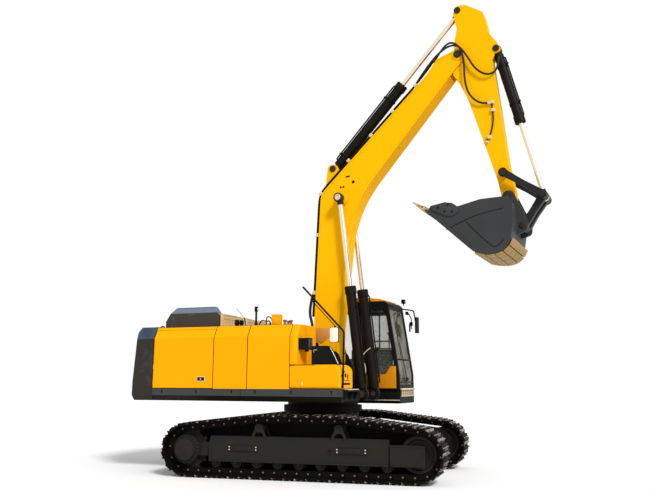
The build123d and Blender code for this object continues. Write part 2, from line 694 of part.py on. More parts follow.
# Side doors, each hinged along its rear edge on two knuckles
door_foot = DECK_TOP + 12
door_head = roof_edge - 6
door_lean = (SHOULDER_HALF_WIDTH - ROOF_HALF_WIDTH) / ROOF_RISE * (ROOF_HEIGHT - door_head)
door_head_y = ROOF_HALF_WIDTH + door_lean
DOOR_SECTION = (
    (SIDE_HALF_WIDTH, door_foot), (SHOULDER_HALF_WIDTH, SHOULDER_HEIGHT), (door_head_y, door_head),
    (door_head_y - 58, door_head), (SHOULDER_HALF_WIDTH - PANEL, SHOULDER_HEIGHT - 14),
    (SIDE_HALF_WIDTH - PANEL, door_foot),
)
SIDE_DOORS = (  # name, side, rear edge, front edge
    ("right_door", -1, TAIL_SEAM + 10, TANK_REAR - DOOR_SWING_GAP),
    ("left_rear_door", 1, TAIL_SEAM + 10, TANK_REAR - DOOR_SWING_GAP),
    ("left_front_door", 1, TANK_REAR + 8, CAB_REAR - 60),
)
for name, sign, rear, front in SIDE_DOORS:
    with BuildPart() as side_door:
        beam(DOOR_SECTION if sign > 0 else mirrored(DOOR_SECTION), rear, front)
        hinge_line = (rear + KNUCKLE_RADIUS, sign * SIDE_HALF_WIDTH)
        for knuckle_height in (DECK_TOP + 120, DECK_TOP + 420):
            with Locations((*hinge_line, knuckle_height)):
                Cylinder(KNUCKLE_RADIUS, 90)
    keep(side_door.part, name)

# Handrail at the right front, and the mirrors on their stays
rail_y = -1450
RAIL = ((1008, rail_y, DECK_TOP + 20), (1031, rail_y, 2658), (206, rail_y, 3509))
with BuildPart() as handrail:
    with BuildLine():
        FilletPolyline(*RAIL, radius=[90])
    with BuildSketch(Plane(origin=RAIL[0], z_dir=Vector(*RAIL[1]) - Vector(*RAIL[0]))):
        Circle(18)
    sweep()
    for bracket_height in (1655, 1850):
        block((SIDE_FRONT, 1015), (rail_y - 20, rail_y + 20), (bracket_height, bracket_height + 30))
keep(handrail.part, "handrail")

mirror_set = []
with BuildPart() as right_mirror:
    with BuildLine():
        FilletPolyline((855, rail_y, 2600), (855, rail_y, 2765), (395, rail_y, 3240), radius=[60])
    with BuildSketch(Plane(origin=(855, rail_y, 2600), z_dir=(0, 0, 1))):
        Circle(8)
    sweep()
    block((760, 928), (rail_y - 20, rail_y + 20), (2465, 2738))
mirror_set.append(right_mirror.part)
with BuildPart() as left_mirror:
    with BuildLine():
        FilletPolyline((1150, 1495, 3300), (1450, 1560, 3260), (1500, 1600, 2900), radius=[60])
    with BuildSketch(Plane(origin=(1150, 1495, 3300), z_dir=(300, 65, -40))):
        Circle(14)
    sweep()
    block((1475, 1515), (1560, 1740), (2780, 3120))
mirror_set.append(left_mirror.part)
keep(Compound(children=mirror_set), "mirrors")

with BuildPart() as work_lamps:
    block((TANK_FRONT, 290), (-1400, -1200), (2345, 2560))
keep(work_lamps.part, "work_lamps")

# ---------------------------------------------------------------- cab
slope = (SILL_FRONT - 5 - ROOF_FRONT) / (3330 - 1900)


def screen_x(z, depth=0.0):
    """Where the front of the cab stands at a height, less a depth into it."""
    return SILL_FRONT - 5 - max(z - 1900, 0) * slope - depth


CAB_OUTLINE = [
    (CAB_REAR, CAB_FLOOR, 0), (SILL_FRONT, CAB_FLOOR, 0), (SILL_FRONT - 5, 1900, 0),
    (ROOF_FRONT, 3330, 60), (ROOF_FRONT - 80, CAB_ROOF, 40), (CAB_REAR + 60, CAB_ROOF, 60),
    (CAB_REAR, 3200, 60),
]
CAB_INSIDE = [
    (CAB_REAR + CAB_WALL, CAB_FLOOR + CAB_WALL, 0), (SILL_FRONT - 55, CAB_FLOOR + CAB_WALL, 0),
    (SILL_FRONT - 57, 1900, 0), (ROOF_FRONT - 55, 3300, 0), (ROOF_FRONT - 100, 3330, 0),
    (CAB_REAR + 90, 3330, 0), (CAB_REAR + CAB_WALL, 3180, 0),
]
RIGHT_WINDOW = [
    (CAB_REAR + 120, 1905, 40), (1150, 1905, 40), (1240, 2055, 30), (screen_x(2055, 80), 2055, 30),
    (screen_x(3210, 80), 3210, 60), (CAB_REAR + 120, 3210, 60),
]
DOORWAY = [
    (DOOR_REAR - DOOR_GAP, 1650, 30), (screen_x(1650, 120), 1650, 30), (screen_x(1900, 120), 1900, 0),
    (screen_x(3240, 120), 3240, 60), (DOOR_REAR - DOOR_GAP, 3240, 30),
]
DOOR_OUTLINE = [
    (DOOR_REAR, 1658, 24), (screen_x(1658, 128), 1658, 24), (screen_x(1900, 128), 1900, 0),
    (screen_x(3232, 130), 3232, 54), (DOOR_REAR, 3232, 24),
]
DOOR_WINDOW = [
    (DOOR_REAR + 70, 2000, 40), (screen_x(2000, 200), 2000, 40),
    (screen_x(3160, 200), 3160, 40), (DOOR_REAR + 70, 3160, 40),
]
REAR_SIDE_WINDOW = [(-250, 2000, 40), (210, 2000, 40), (210, 3210, 40), (-250, 3210, 60)]
SCREEN_OPENING = ((1000, 1500), (CAB_RIGHT + 45, CAB_LEFT - 45), (1690, 3225))
REAR_OPENING = ((CAB_REAR - 10, CAB_REAR + 60), (CAB_RIGHT + 120, CAB_LEFT - 120), (2350, 3120))
with BuildPart() as cab_shell:
    plate(CAB_OUTLINE, CAB_RIGHT, CAB_LEFT)
    plate(CAB_INSIDE, CAB_RIGHT + CAB_WALL, CAB_LEFT - CAB_WALL, mode=Mode.SUBTRACT)
    plate(RIGHT_WINDOW, CAB_RIGHT - 1, CAB_RIGHT + CAB_WALL + 1, mode=Mode.SUBTRACT)
    plate(DOORWAY, CAB_LEFT - CAB_WALL - 1, CAB_LEFT + 1, mode=Mode.SUBTRACT)
    plate(REAR_SIDE_WINDOW, CAB_LEFT - CAB_WALL - 1, CAB_LEFT + 1, mode=Mode.SUBTRACT)
    block(*SCREEN_OPENING, Mode.SUBTRACT)
    block(*REAR_OPENING, Mode.SUBTRACT)
    feet_y = (CAB_RIGHT + 100, CAB_LEFT - 100)
    block((CAB_REAR + 50, SILL_FRONT - 100), feet_y, (CAB_FLOOR - CAB_MOUNT, CAB_FLOOR))
keep(cab_shell.part, "cab_shell")

with BuildPart() as cab_roof:
    plate(
        [
            (CAB_REAR + 80, CAB_ROOF, 0), (CAB_REAR + 100, CAB_ROOF + 85, 40), (720, CAB_ROOF + 85, 400),
            (ROOF_FRONT - 155, CAB_ROOF + 45, 30), (ROOF_FRONT - 145, CAB_ROOF, 0),
        ],
        CAB_RIGHT + 5, CAB_LEFT - 5,
    )
keep(cab_roof.part, "cab_roof")

glass_thickness = 10
panes = []
with BuildPart() as right_pane:
    plate(RIGHT_WINDOW, CAB_RIGHT + 20, CAB_RIGHT + 20 + glass_thickness)
panes.append(right_pane.part)
with BuildPart() as left_pane:
    plate(REAR_SIDE_WINDOW, CAB_LEFT - 30, CAB_LEFT - 30 + glass_thickness)
panes.append(left_pane.part)
with BuildPart() as windscreen:
    outer_skin = [(screen_x(z, 20), z, 0) for z in (1690, 1900, 3225)]
    inner_skin = [(screen_x(z, 20 + glass_thickness), z, 0) for z in (3225, 1900, 1690)]
    plate(outer_skin + inner_skin, SCREEN_OPENING[1][0], SCREEN_OPENING[1][1])
panes.append(windscreen.part)
with BuildPart() as rear_pane:
    block((CAB_REAR + 20, CAB_REAR + 20 + glass_thickness), REAR_OPENING[1], REAR_OPENING[2])
panes.append(rear_pane.part)
keep(Compound(children=panes), "cab_glass")

DOOR_HINGE_Y = CAB_LEFT + 16
with BuildPart() as cab_door:
    plate(DOOR_OUTLINE, CAB_LEFT - 45, CAB_LEFT)
    plate(DOOR_WINDOW, CAB_LEFT - 46, CAB_LEFT + 1, mode=Mode.SUBTRACT)
    for knuckle_height in (CAB_FLOOR + 255, CAB_FLOOR + 1355):
        with Locations((DOOR_REAR, DOOR_HINGE_Y, knuckle_height)):
            Cylinder(11, 110)
        leaf = (CAB_LEFT, DOOR_HINGE_Y), (knuckle_height - 50, knuckle_height + 50)
        block((DOOR_REAR, DOOR_REAR + 50), *leaf)
keep(cab_door.part, "cab_door")

with BuildPart() as door_glass:
    plate(DOOR_WINDOW, CAB_LEFT - 28, CAB_LEFT - 28 + glass_thickness)
keep(door_glass.part, "door_glass")

floor = CAB_FLOOR + CAB_WALL
with BuildPart() as operator_station:
    block((60, 620), (760, 1220), (floor, floor + 330))
    block((40, 640), (740, 1240), (floor + 330, floor + 450))
    backrest = [
        (20, floor + 420, 30), (-150, floor + 1150, 60), (-30, floor + 1170, 50), (150, floor + 440, 30),
    ]
    plate(backrest, 760, 1220)
    block((120, 760), (630, 740), (floor, floor + 560))
    block((120, 760), (1240, 1350), (floor, floor + 560))
    for y in (685, 1295):
        with Locations((700, y, floor + 560)):
            Cylinder(14, 170, align=(Align.CENTER, Align.CENTER, Align.MIN))
        with Locations((700, y, floor + 730)):
            Cylinder(30, 110, align=(Align.CENTER, Align.CENTER, Align.MIN))
keep(operator_station.part, "operator_station")

# ---------------------------------------------------------------- boom
BOOM_OUTLINE = [
    (110, 2050, 120), (400, 2050, 120), (405, 2750, 600), (705, 5227, 2500), (2900, 7840, 60),
    (3105, 8050, 100), (2990, 8280, 90), (2550, 8120, 60), (2325, 7815, 80), (33, 5575, 350),
    (-110, 2860, 300),
]
tip_x, tip_z = BOOM_TIP
FORK_SLOT = [
    (2904, 7693, 0), (2265, 7942, 0), (2265, 8500, 0), (3400, 8500, 0), (3400, 7693, 0),
]
ram_foot_x, ram_foot_z = ARM_RAM_FOOT
ARM_RAM_EARS = [
    (90, 5560, 0), (ram_foot_x - 110, ram_foot_z + 85, 90), (ram_foot_x + 70, ram_foot_z + 95, 85),
    (ram_foot_x + 135, ram_foot_z - 40, 30), (600, 6180, 0), (600, 5900, 0),
]
arm_ear_inner = 80
arm_ear_outer = 135
fork_inner = ARM_HALF_WIDTH + SIDE_PLAY
with BuildPart() as boom:
    plate(BOOM_OUTLINE, -BOOM_HALF_WIDTH, BOOM_HALF_WIDTH)
    recess = offset(outline(BOOM_OUTLINE, -BOOM_HALF_WIDTH), amount=-FLANGE, mode=Mode.PRIVATE)
    extrude(recess, amount=-FLANGE_STEP, mode=Mode.SUBTRACT)
    recess_left = offset(outline(BOOM_OUTLINE, BOOM_HALF_WIDTH), amount=-FLANGE, mode=Mode.PRIVATE)
    extrude(recess_left, amount=FLANGE_STEP, mode=Mode.SUBTRACT)
    both_plates(ARM_RAM_EARS, arm_ear_inner, arm_ear_outer)
    both_discs(BOOM_FOOT, 140, 0, BOOM_HALF_WIDTH)
    both_discs(LIFT_EYE, 130, 0, LIFT_RAM_Y - 70)
    both_discs(BOOM_TIP, 118, fork_inner, BOOM_HALF_WIDTH)
    plate(FORK_SLOT, -fork_inner, fork_inner, mode=Mode.SUBTRACT)
    disc(BOOM_FOOT, FOOT_PIN + PIN_PLAY, -300, 300, mode=Mode.SUBTRACT)
    disc(BOOM_TIP, TIP_PIN + PIN_PLAY, -300, 300, mode=Mode.SUBTRACT)
    disc(ARM_RAM_FOOT, ram_bore, -200, 200, mode=Mode.SUBTRACT)
keep(boom.part, "boom")

boom_pins = []
for centre, radius, reach in (
    (BOOM_TIP, TIP_PIN, BOOM_HALF_WIDTH), (ARM_RAM_FOOT, RAM_PIN, arm_ear_outer),
):
    with BuildPart() as boom_pin:
        disc(centre, radius, -reach - pin_cap, reach + pin_cap)
        both_discs(centre, radius + 22, reach, reach + pin_cap)
    boom_pins.append(boom_pin.part)
keep(Compound(children=boom_pins), "boom_pins")

# ---------------------------------------------------------------- arm
ARM_OUTLINE = [
    (2870, 7740, 80), (2900, 8400, 100), (2960, 8710, 150), (2895, 9040, 60), (2960, 9200, 80),
    (3150, 9190, 60), (3490, 8980, 60), (3540, 8760, 100), (3640, 7960, 150), (3790, 6640, 0),
    (3880, 5850, 0), (3985, 5300, 60), (3970, 5090, 90), (3760, 5080, 90), (3670, 5540, 60),
    (3160, 7180, 0), (2950, 7650, 60),
]
EYE_SLOT = [(2700, 8640, 0), (3250, 8640, 0), (3400, 8900, 0), (3400, 9300, 0), (2700, 9300, 0)]
bucket_ram_x, bucket_ram_z = BUCKET_RAM_FOOT
BUCKET_RAM_EARS = [
    (3480, 8700, 0), (bucket_ram_x + 30, bucket_ram_z + 110, 80),
    (bucket_ram_x + 105, bucket_ram_z - 45, 60), (bucket_ram_x - 30, bucket_ram_z - 95, 20),
    (bucket_ram_x - 80, bucket_ram_z - 230, 40),
    (3600, 7800, 0), (3560, 7900, 0),
]
tip_boss = 118
with BuildPart() as arm:
    plate(ARM_OUTLINE, -ARM_HALF_WIDTH, ARM_HALF_WIDTH)
    disc(BOOM_TIP, 130, -ARM_HALF_WIDTH, ARM_HALF_WIDTH)
    plate(EYE_SLOT, -arm_ear_inner, arm_ear_inner, mode=Mode.SUBTRACT)
    both_plates(BUCKET_RAM_EARS, arm_ear_inner, arm_ear_outer)
    disc(ARM_TIP, tip_boss, -TIP_BOSS_HALF_WIDTH, TIP_BOSS_HALF_WIDTH)
    disc(LINK_ON_ARM, 85, -LINK_LANE[0] + SIDE_PLAY, LINK_LANE[0] - SIDE_PLAY)
    disc(BOOM_TIP, TIP_PIN + PIN_PLAY, -300, 300, mode=Mode.SUBTRACT)
    disc(ARM_TIP, TIP_PIN + PIN_PLAY, -300, 300, mode=Mode.SUBTRACT)
    disc(LINK_ON_ARM, ram_bore, -300, 300, mode=Mode.SUBTRACT)
    disc(BUCKET_RAM_FOOT, ram_bore, -200, 200, mode=Mode.SUBTRACT)
    disc(ARM_RAM_EYE, ram_bore, -200, 200, mode=Mode.SUBTRACT)
keep(arm.part, "arm")

arm_pins = []
with BuildPart() as bucket_ram_pin:
    disc(BUCKET_RAM_FOOT, RAM_PIN, -arm_ear_outer - pin_cap, arm_ear_outer + pin_cap)
    both_discs(BUCKET_RAM_FOOT, RAM_PIN + 22, arm_ear_outer, arm_ear_outer + pin_cap)
arm_pins.append(bucket_ram_pin.part)
link_pin_end = LINK_LANE[1] + SIDE_PLAY
with BuildPart() as link_pin:
    disc(LINK_ON_ARM, RAM_PIN, -link_pin_end - pin_cap, link_pin_end + pin_cap)
    both_discs(LINK_ON_ARM, RAM_PIN + 22, link_pin_end, link_pin_end + pin_cap)
arm_pins.append(link_pin.part)
for sign in (-1, 1):
    with BuildPart() as eye_pin:
        start, end = arm_ear_inner + 4, ARM_HALF_WIDTH
        disc(ARM_RAM_EYE, RAM_PIN, min(sign * start, sign * end), max(sign * start, sign * end))
        cap = end + pin_cap
        disc(ARM_RAM_EYE, RAM_PIN + 22, min(sign * end, sign * cap), max(sign * end, sign * cap))
    arm_pins.append(eye_pin.part)
keep(Compound(children=arm_pins), "arm_pins")


# ---------------------------------------------------------------- rams
def ram(foot, eye, y, barrel_radius, rod_radius, head, rod_inner, eye_width):
    """A ram's barrel and rod, each along the line from its foot pin to its eye."""
    direction, reach = toward(foot, eye)
    origin = (foot[0], y, foot[1])
    line = Plane(origin=origin, x_dir=(0, 1, 0), z_dir=direction)
    eye_radius = RAM_PIN + 45
    barrel_start = eye_radius + 20
    bottom = (Align.CENTER, Align.CENTER, Align.MIN)
    with BuildPart(line) as barrel:
        Cylinder(eye_width / 2 - 4, barrel_start, align=bottom)
        with Locations((0, 0, barrel_start)):
            Cylinder(barrel_radius, head - barrel_start - 20, align=bottom)
        with Locations((0, 0, head - 140)):
            Cylinder(barrel_radius + 14, 140, align=bottom)
        Cylinder(eye_radius, eye_width, rotation=(0, 90, 0))
        with Locations((0, 0, barrel_start + 12)):
            Cylinder(rod_radius + 12, head - barrel_start - 232, align=bottom, mode=Mode.SUBTRACT)
        with Locations((0, 0, head - 260)):
            Cylinder(rod_radius + PIN_PLAY, 300, align=bottom, mode=Mode.SUBTRACT)
        Cylinder(ram_bore, eye_width + 2, rotation=(0, 90, 0), mode=Mode.SUBTRACT)
    with BuildPart(line) as rod:
        with Locations((0, 0, rod_inner)):
            Cylinder(rod_radius, reach - rod_inner, align=bottom)
        with Locations((0, 0, reach - 150)):
            Cylinder(rod_radius + 12, 70, align=bottom)
        with Locations((0, 0, reach)):
            Cylinder(eye_radius, eye_width, rotation=(0, 90, 0))
    return barrel.part, rod.part


eye_width = 2 * (arm_ear_inner - 6)
lift_barrels = []
lift_rods = []
for y in (-LIFT_RAM_Y, LIFT_RAM_Y):
    lift_barrel, lift_rod = ram(LIFT_FOOT, LIFT_EYE, y, 102, 50, 2100, 1900, 118)
    with BuildPart() as eye_cap:
        side = 1 if y > 0 else -1
        cap_ends = sorted((y + side * 50, y + side * 125))
        disc(LIFT_EYE, RAM_PIN + 20, *cap_ends)
    lift_barrels.append(lift_barrel)
    lift_rods.append(lift_rod + eye_cap.part)
keep(Compound(children=lift_barrels), "boom_ram_barrels")
keep(Compound(children=lift_rods), "boom_ram_rods")

arm_barrel, arm_rod = ram(ARM_RAM_FOOT, ARM_RAM_EYE, 0, 108, 52, 2230, 2030, eye_width)
keep(arm_barrel, "arm_ram_barrel")
keep(arm_rod, "arm_ram_rod")
bucket_barrel, bucket_rod = ram(BUCKET_RAM_FOOT, LINK_END, 0, 92, 45, 1580, 1510, eye_width)
keep(bucket_barrel, "bucket_ram_barrel")
keep(bucket_rod, "bucket_ram_rod")

# ---------------------------------------------------------------- bucket linkage


def link_rows(start, end, radius, waist):
    """A straight link's outline between two pins, as the sides of its bar."""
    direction, reach = toward(start, end)
    across = Vector(-direction.Z, 0, direction.X)
    rows = []
    for along, width in ((0, radius), (reach / 2, waist), (reach, radius)):
        rows.append((along, width))
    for along, width in ((reach, -radius), (reach / 2, -waist), (0, -radius)):
        rows.append((along, width))
    placed = []
    for along, width in rows:
        point = Vector(start[0], 0, start[1]) + direction * along + across * width
        placed.append((point.X, point.Z, 0))
    return placed


link_boss = 85
arm_links = []
for sign in (-1, 1):
    with BuildPart() as arm_link:
        low, high = sorted((sign * LINK_LANE[0], sign * LINK_LANE[1]))
        plate(link_rows(LINK_ON_ARM, LINK_END, 70, 55), low, high)
        disc(LINK_ON_ARM, link_boss, low, high)
        disc(LINK_END, link_boss, low, high)
        cap_low, cap_high = sorted((sign * (LINK_LANE[1] - 5), sign * (LINK_LANE[1] + 25)))
        disc(LINK_END, RAM_PIN + 15, cap_low, cap_high)
        disc(LINK_ON_ARM, ram_bore, low, high, mode=Mode.SUBTRACT)
    arm_links.append(arm_link.part)
keep(Compound(children=arm_links), "arm_links")

cheek_inner = arm_ear_inner + 6
cheek_outer = LINK_LANE[0] - SIDE_PLAY
H_ROWS = link_rows(LINK_ON_BUCKET, LINK_END, 75, 60)
with BuildPart() as bucket_link:
    both_plates(H_ROWS, cheek_inner, TIP_BOSS_HALF_WIDTH)
    both_discs(LINK_END, link_boss, cheek_inner, cheek_outer)
    disc(LINK_ON_BUCKET, link_boss - 7, -TIP_BOSS_HALF_WIDTH, TIP_BOSS_HALF_WIDTH)
    disc(LINK_ON_BUCKET, ram_bore, -300, 300, mode=Mode.SUBTRACT)
keep(bucket_link.part, "bucket_link")

# ---------------------------------------------------------------- bucket
LIP = (2400, 4955)
WALL_TOP = (3950, 5045)
BUCKET_OUTSIDE = [
    (LIP[0], LIP[1] - 25, 0), (3310, 4085, 300), (3560, 4020, 60), (3940, 4060, 330), (4025, 4560, 100),
    (4030, 4950, 60), (*WALL_TOP, 0),
]
BUCKET_INSIDE = [
    (LIP[0], LIP[1] + 20, 0), (3325, 4122, 290), (3565, 4055, 60), (3905, 4095, 300), (3990, 4570, 90),
    (3992, 4935, 40), (3905, 5060, 0), (3880, 5300, 0), (LIP[0] + 100, 5300, 0),
]
SIDE_PLATE = [
    (2440, 4900, 0), (3310, 4085, 300), (3560, 4020, 60), (3940, 4060, 330), (4025, 4560, 100),
    (4030, 4950, 60), (3960, 5080, 30), (3450, 5060, 60), (3030, 4960, 60), (2800, 5060, 20),
    (2520, 5010, 20),
]
ear_low = TIP_BOSS_HALF_WIDTH + 8
arm_x, arm_z = ARM_TIP
link_x, link_z = LINK_ON_BUCKET
BUCKET_EAR = [
    (arm_x - 110, arm_z - 40, 100), (arm_x - 60, arm_z + 110, 100), (arm_x + 100, arm_z + 80, 100),
    (link_x + 105, link_z + 80, 90), (link_x + 85, link_z - 100, 90), (4010, 4440, 0), (3990, 4500, 0),
    (3880, 4900, 0), (3700, 5000, 0), (3700, 5060, 30),
]
BRIDGE = ((3600, 3940), (-340, 340), (arm_z - 204, arm_z - 164))
nose_room = ARM_HALF_WIDTH + SIDE_PLAY
with BuildPart() as bucket:
    mouth = [(WALL_TOP[0] - 45, WALL_TOP[1] + 15, 0), (LIP[0] + 80, WALL_TOP[1] + 15, 0)]
    plate(BUCKET_OUTSIDE + mouth, -BUCKET_HALF_WIDTH, BUCKET_HALF_WIDTH)
    plate(BUCKET_INSIDE, -BUCKET_HALF_WIDTH - 1, BUCKET_HALF_WIDTH + 1, mode=Mode.SUBTRACT)
    both_plates(SIDE_PLATE, BUCKET_HALF_WIDTH - BUCKET_WALL, BUCKET_HALF_WIDTH)
    block(*BRIDGE)
    disc(ARM_TIP, tip_boss + 12, -ear_low, ear_low, mode=Mode.SUBTRACT)
    # room for the arm's nose at the end of the bucket's travel
    arm_path = offset(outline(ARM_OUTLINE, -nose_room), amount=8, mode=Mode.PRIVATE)
    arm_path = arm_path.rotate(Axis((arm_x, 0, arm_z), (0, 1, 0)), BUCKET_OPEN)
    extrude(arm_path, amount=-2 * nose_room, mode=Mode.SUBTRACT)
    disc(ARM_TIP, 165, -nose_room, nose_room, mode=Mode.SUBTRACT)
    both_plates(BUCKET_EAR, ear_low, ear_low + EAR_THICKNESS)
    disc(ARM_TIP, TIP_PIN + PIN_PLAY, -400, 400, mode=Mode.SUBTRACT)
    disc(LINK_ON_BUCKET, ram_bore, -400, 400, mode=Mode.SUBTRACT)
keep(bucket.part, "bucket")

# Each tooth stands on an adapter that clasps the lip
lip = Vector(LIP[0], 0, LIP[1])
lip_run = Vector(-250, 0, 165).normalized()
lip_across = Vector(-lip_run.Z, 0, lip_run.X)
TOOTH_ROWS = [  # along the tooth, across it
    (-120, 52), (30, 50), (150, 30), (295, 8), (295, -8), (150, -30), (30, -50), (-120, -56),
]
tooth_outline = []
for along, across in TOOTH_ROWS:
    point = lip + lip_run * along + lip_across * across
    tooth_outline.append((point.X, point.Z, 0))
BUCKET_TEETH = 5
tooth_step = (2 * BUCKET_HALF_WIDTH - 180) / (BUCKET_TEETH - 1)
teeth = []
for index in range(BUCKET_TEETH):
    y = 90 - BUCKET_HALF_WIDTH + index * tooth_step
    with BuildPart() as tooth:
        plate(tooth_outline, y - 50, y + 50)
    teeth.append(tooth.part - bucket.part)
keep(Compound(children=teeth), "bucket_teeth")

bucket_pins = []
for centre, radius in ((ARM_TIP, TIP_PIN), (LINK_ON_BUCKET, RAM_PIN)):
    reach = ear_low + EAR_THICKNESS
    with BuildPart() as bucket_pin:
        disc(centre, radius, -reach - 5, reach + 5)
        both_discs(centre, radius + 20, reach, reach + 5)
    bucket_pins.append(bucket_pin.part)
keep(Compound(children=bucket_pins), "bucket_pins")
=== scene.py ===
import math
import bpy
from mathutils import Matrix, Vector


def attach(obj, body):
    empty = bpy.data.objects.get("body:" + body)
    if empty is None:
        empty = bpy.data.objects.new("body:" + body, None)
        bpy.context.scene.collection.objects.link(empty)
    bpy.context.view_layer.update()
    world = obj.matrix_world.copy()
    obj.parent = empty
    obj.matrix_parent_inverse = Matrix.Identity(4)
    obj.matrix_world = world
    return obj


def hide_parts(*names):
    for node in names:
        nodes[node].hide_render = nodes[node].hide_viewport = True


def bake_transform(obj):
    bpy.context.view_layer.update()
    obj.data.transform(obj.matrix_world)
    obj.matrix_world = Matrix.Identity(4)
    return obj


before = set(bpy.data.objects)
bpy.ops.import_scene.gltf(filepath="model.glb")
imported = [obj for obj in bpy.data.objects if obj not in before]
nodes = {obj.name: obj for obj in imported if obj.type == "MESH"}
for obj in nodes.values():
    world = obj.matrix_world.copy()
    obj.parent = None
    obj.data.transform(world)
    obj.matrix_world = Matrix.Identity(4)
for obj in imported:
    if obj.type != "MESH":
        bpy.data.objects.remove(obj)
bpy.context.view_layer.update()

swingX = -0.385  # the swing axis in this frame
slewAngle = math.radians(5.76)  # tracks turned under the upper structure
bothSides = (("Right", -1), ("Left", 1))

# small helpers


def clearSelection():
    if bpy.context.object and bpy.context.object.mode != "OBJECT":
        bpy.ops.object.mode_set(mode="OBJECT")
    bpy.ops.object.select_all(action="DESELECT")


def chosen(piece):
    clearSelection()
    piece.select_set(True)
    bpy.context.view_layer.objects.active = piece
    return piece


def named(name):
    piece = bpy.context.object
    piece.name = name
    return piece


def settle(piece):
    chosen(piece)
    bpy.ops.object.transform_apply(location=True, rotation=True, scale=True)
    return piece


def pointed(piece, run):
    # turns an upright piece along a run
    piece.rotation_mode = "QUATERNION"
    piece.rotation_quaternion = Vector((0, 0, 1)).rotation_difference(Vector(run))
    return settle(piece)


def modified(piece, name, kind, **settings):
    change = chosen(piece).modifiers.new(name, kind)
    for key, value in settings.items():
        setattr(change, key, value)
    bpy.ops.object.modifier_apply(modifier=name)
    return piece


def bevelEdges(piece, width, segments=2, angle=30):
    if width <= 0:
        return piece
    return modified(
        piece, "rounding", "BEVEL", width=width, segments=segments,
        limit_method="ANGLE", angle_limit=math.radians(angle), harden_normals=False,
    )


def smooth(piece, angle=35):
    chosen(piece)
    bpy.ops.object.shade_smooth_by_angle(angle=math.radians(angle))
    return piece


def box(name, low, high, bevel=0.006, segments=2):
    clearSelection()
    bpy.ops.mesh.primitive_cube_add(size=1, location=[(a + b) / 2 for a, b in zip(low, high)])
    piece = named(name)
    piece.scale = [b - a for a, b in zip(low, high)]
    return smooth(bevelEdges(settle(piece), bevel, segments))


def bar(name, start, end, radius, sides=24, bevel=0.0):
    clearSelection()
    start, end = Vector(start), Vector(end)
    run = end - start
    bpy.ops.mesh.primitive_cylinder_add(
        vertices=sides, radius=radius, depth=run.length, location=(start + end) / 2
    )
    return smooth(bevelEdges(pointed(named(name), run), bevel, 2, 50))


def pulled(move):
    bpy.ops.mesh.extrude_region_move(TRANSFORM_OT_translate={"value": move})


def closeMesh():
    bpy.ops.mesh.normals_make_consistent(inside=False)
    bpy.ops.object.mode_set(mode="OBJECT")


def turned(name, centre, axis, rows, sides=32, hollow=False):
    # rows are (distance along the axis, radius), the first of them at the centre;
    # a hollow piece closes on its first row
    clearSelection()
    reach, width = rows[0]
    bpy.ops.mesh.primitive_circle_add(
        vertices=sides, radius=width, location=(0, 0, reach), fill_type="NOTHING" if hollow else "NGON"
    )
    piece = named(name)
    bpy.ops.object.mode_set(mode="EDIT")
    bpy.ops.mesh.select_all(action="SELECT")
    for along, radius in rows[1:]:
        pulled((0, 0, along - reach))
        bpy.ops.transform.resize(value=(radius / width, radius / width, 1))
        reach, width = along, radius
    bpy.ops.mesh.select_all(action="SELECT")
    if hollow:
        bpy.ops.mesh.remove_doubles(threshold=0.0002)
    closeMesh()
    piece.location = centre
    return smooth(pointed(piece, axis))


def slab(name, corners, thickness, bevel=0.004):
    # corners are points of a flat outline, thickness is the way it is pulled out
    clearSelection()
    bpy.ops.mesh.primitive_circle_add(vertices=len(corners), radius=1, fill_type="NGON")
    piece = named(name)
    for vertex, corner in zip(piece.data.vertices, corners):
        vertex.co = corner
    bpy.ops.object.mode_set(mode="EDIT")
    bpy.ops.mesh.select_all(action="SELECT")
    pulled(thickness)
    bpy.ops.mesh.select_all(action="SELECT")
    closeMesh()
    return smooth(bevelEdges(piece, bevel))


def sideSlab(name, rows, low, high, bevel=0.004):
    # an outline of (x, z) rows, between two y values
    return slab(name, [(x, low, z) for x, z in rows], (0, high - low, 0), bevel)


def sidePlate(name, low, high, near, far, bevel=0.003):
    # an upright oblong between two (x, z) corners and two y values
    (x1, z1), (x2, z2) = low, high
    return sideSlab(name, ((x1, z1), (x2, z1), (x2, z2), (x1, z2)), near, far, bevel)


def tube(name, points, radius):
    clearSelection()
    line = bpy.data.curves.new(name, "CURVE")
    line.dimensions = "3D"
    spline = line.splines.new("NURBS")
    spline.points.add(len(points) - 1)
    for place, point in zip(spline.points, points):
        place.co = (*point, 1)
    spline.order_u = 3
    spline.use_endpoint_u = True
    spline.resolution_u = 8
    line.bevel_depth = radius
    line.bevel_resolution = 3
    line.use_fill_caps = True
    piece = bpy.data.objects.new(name, line)
    bpy.context.scene.collection.objects.link(piece)
    chosen(piece)
    bpy.ops.object.convert(target="MESH")
    return smooth(bpy.context.object, 60)


def atY(y, rows):
    # (x, z) rows as points at one y
    return [(x, y, z) for x, z in rows]


def joined(name, pieces):
    clearSelection()
    for piece in pieces:
        piece.select_set(True)
    bpy.context.view_layer.objects.active = pieces[0]
    if len(pieces) > 1:
        bpy.ops.object.join()
    return named(name)


def twinOf(piece, place):
    twin = piece.copy()
    twin.data = piece.data.copy()
    bpy.context.scene.collection.objects.link(twin)
    twin.data.transform(place)
    return twin


def dressed(piece, body, material):
    # pieces are drawn about the swing axis, with the tracks pointing straight ahead
    place = Matrix.Translation(Vector((swingX, 0, 0)))
    if body == "undercarriage":
        place = place @ Matrix.Rotation(slewAngle, 4, "Z")
    piece.data.transform(place)
    piece.data.materials.clear()
    piece.data.materials.append(material)
    return piece


def bending(piece, bodies, material, slotName, start, end):
    # a hose across a joint, placed as its first body's pieces are and given its material
    dressed(piece, bodies[0], material)
    start, end = Vector(start) + Vector((swingX, 0, 0)), Vector(end) + Vector((swingX, 0, 0))
    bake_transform(piece)
    return piece


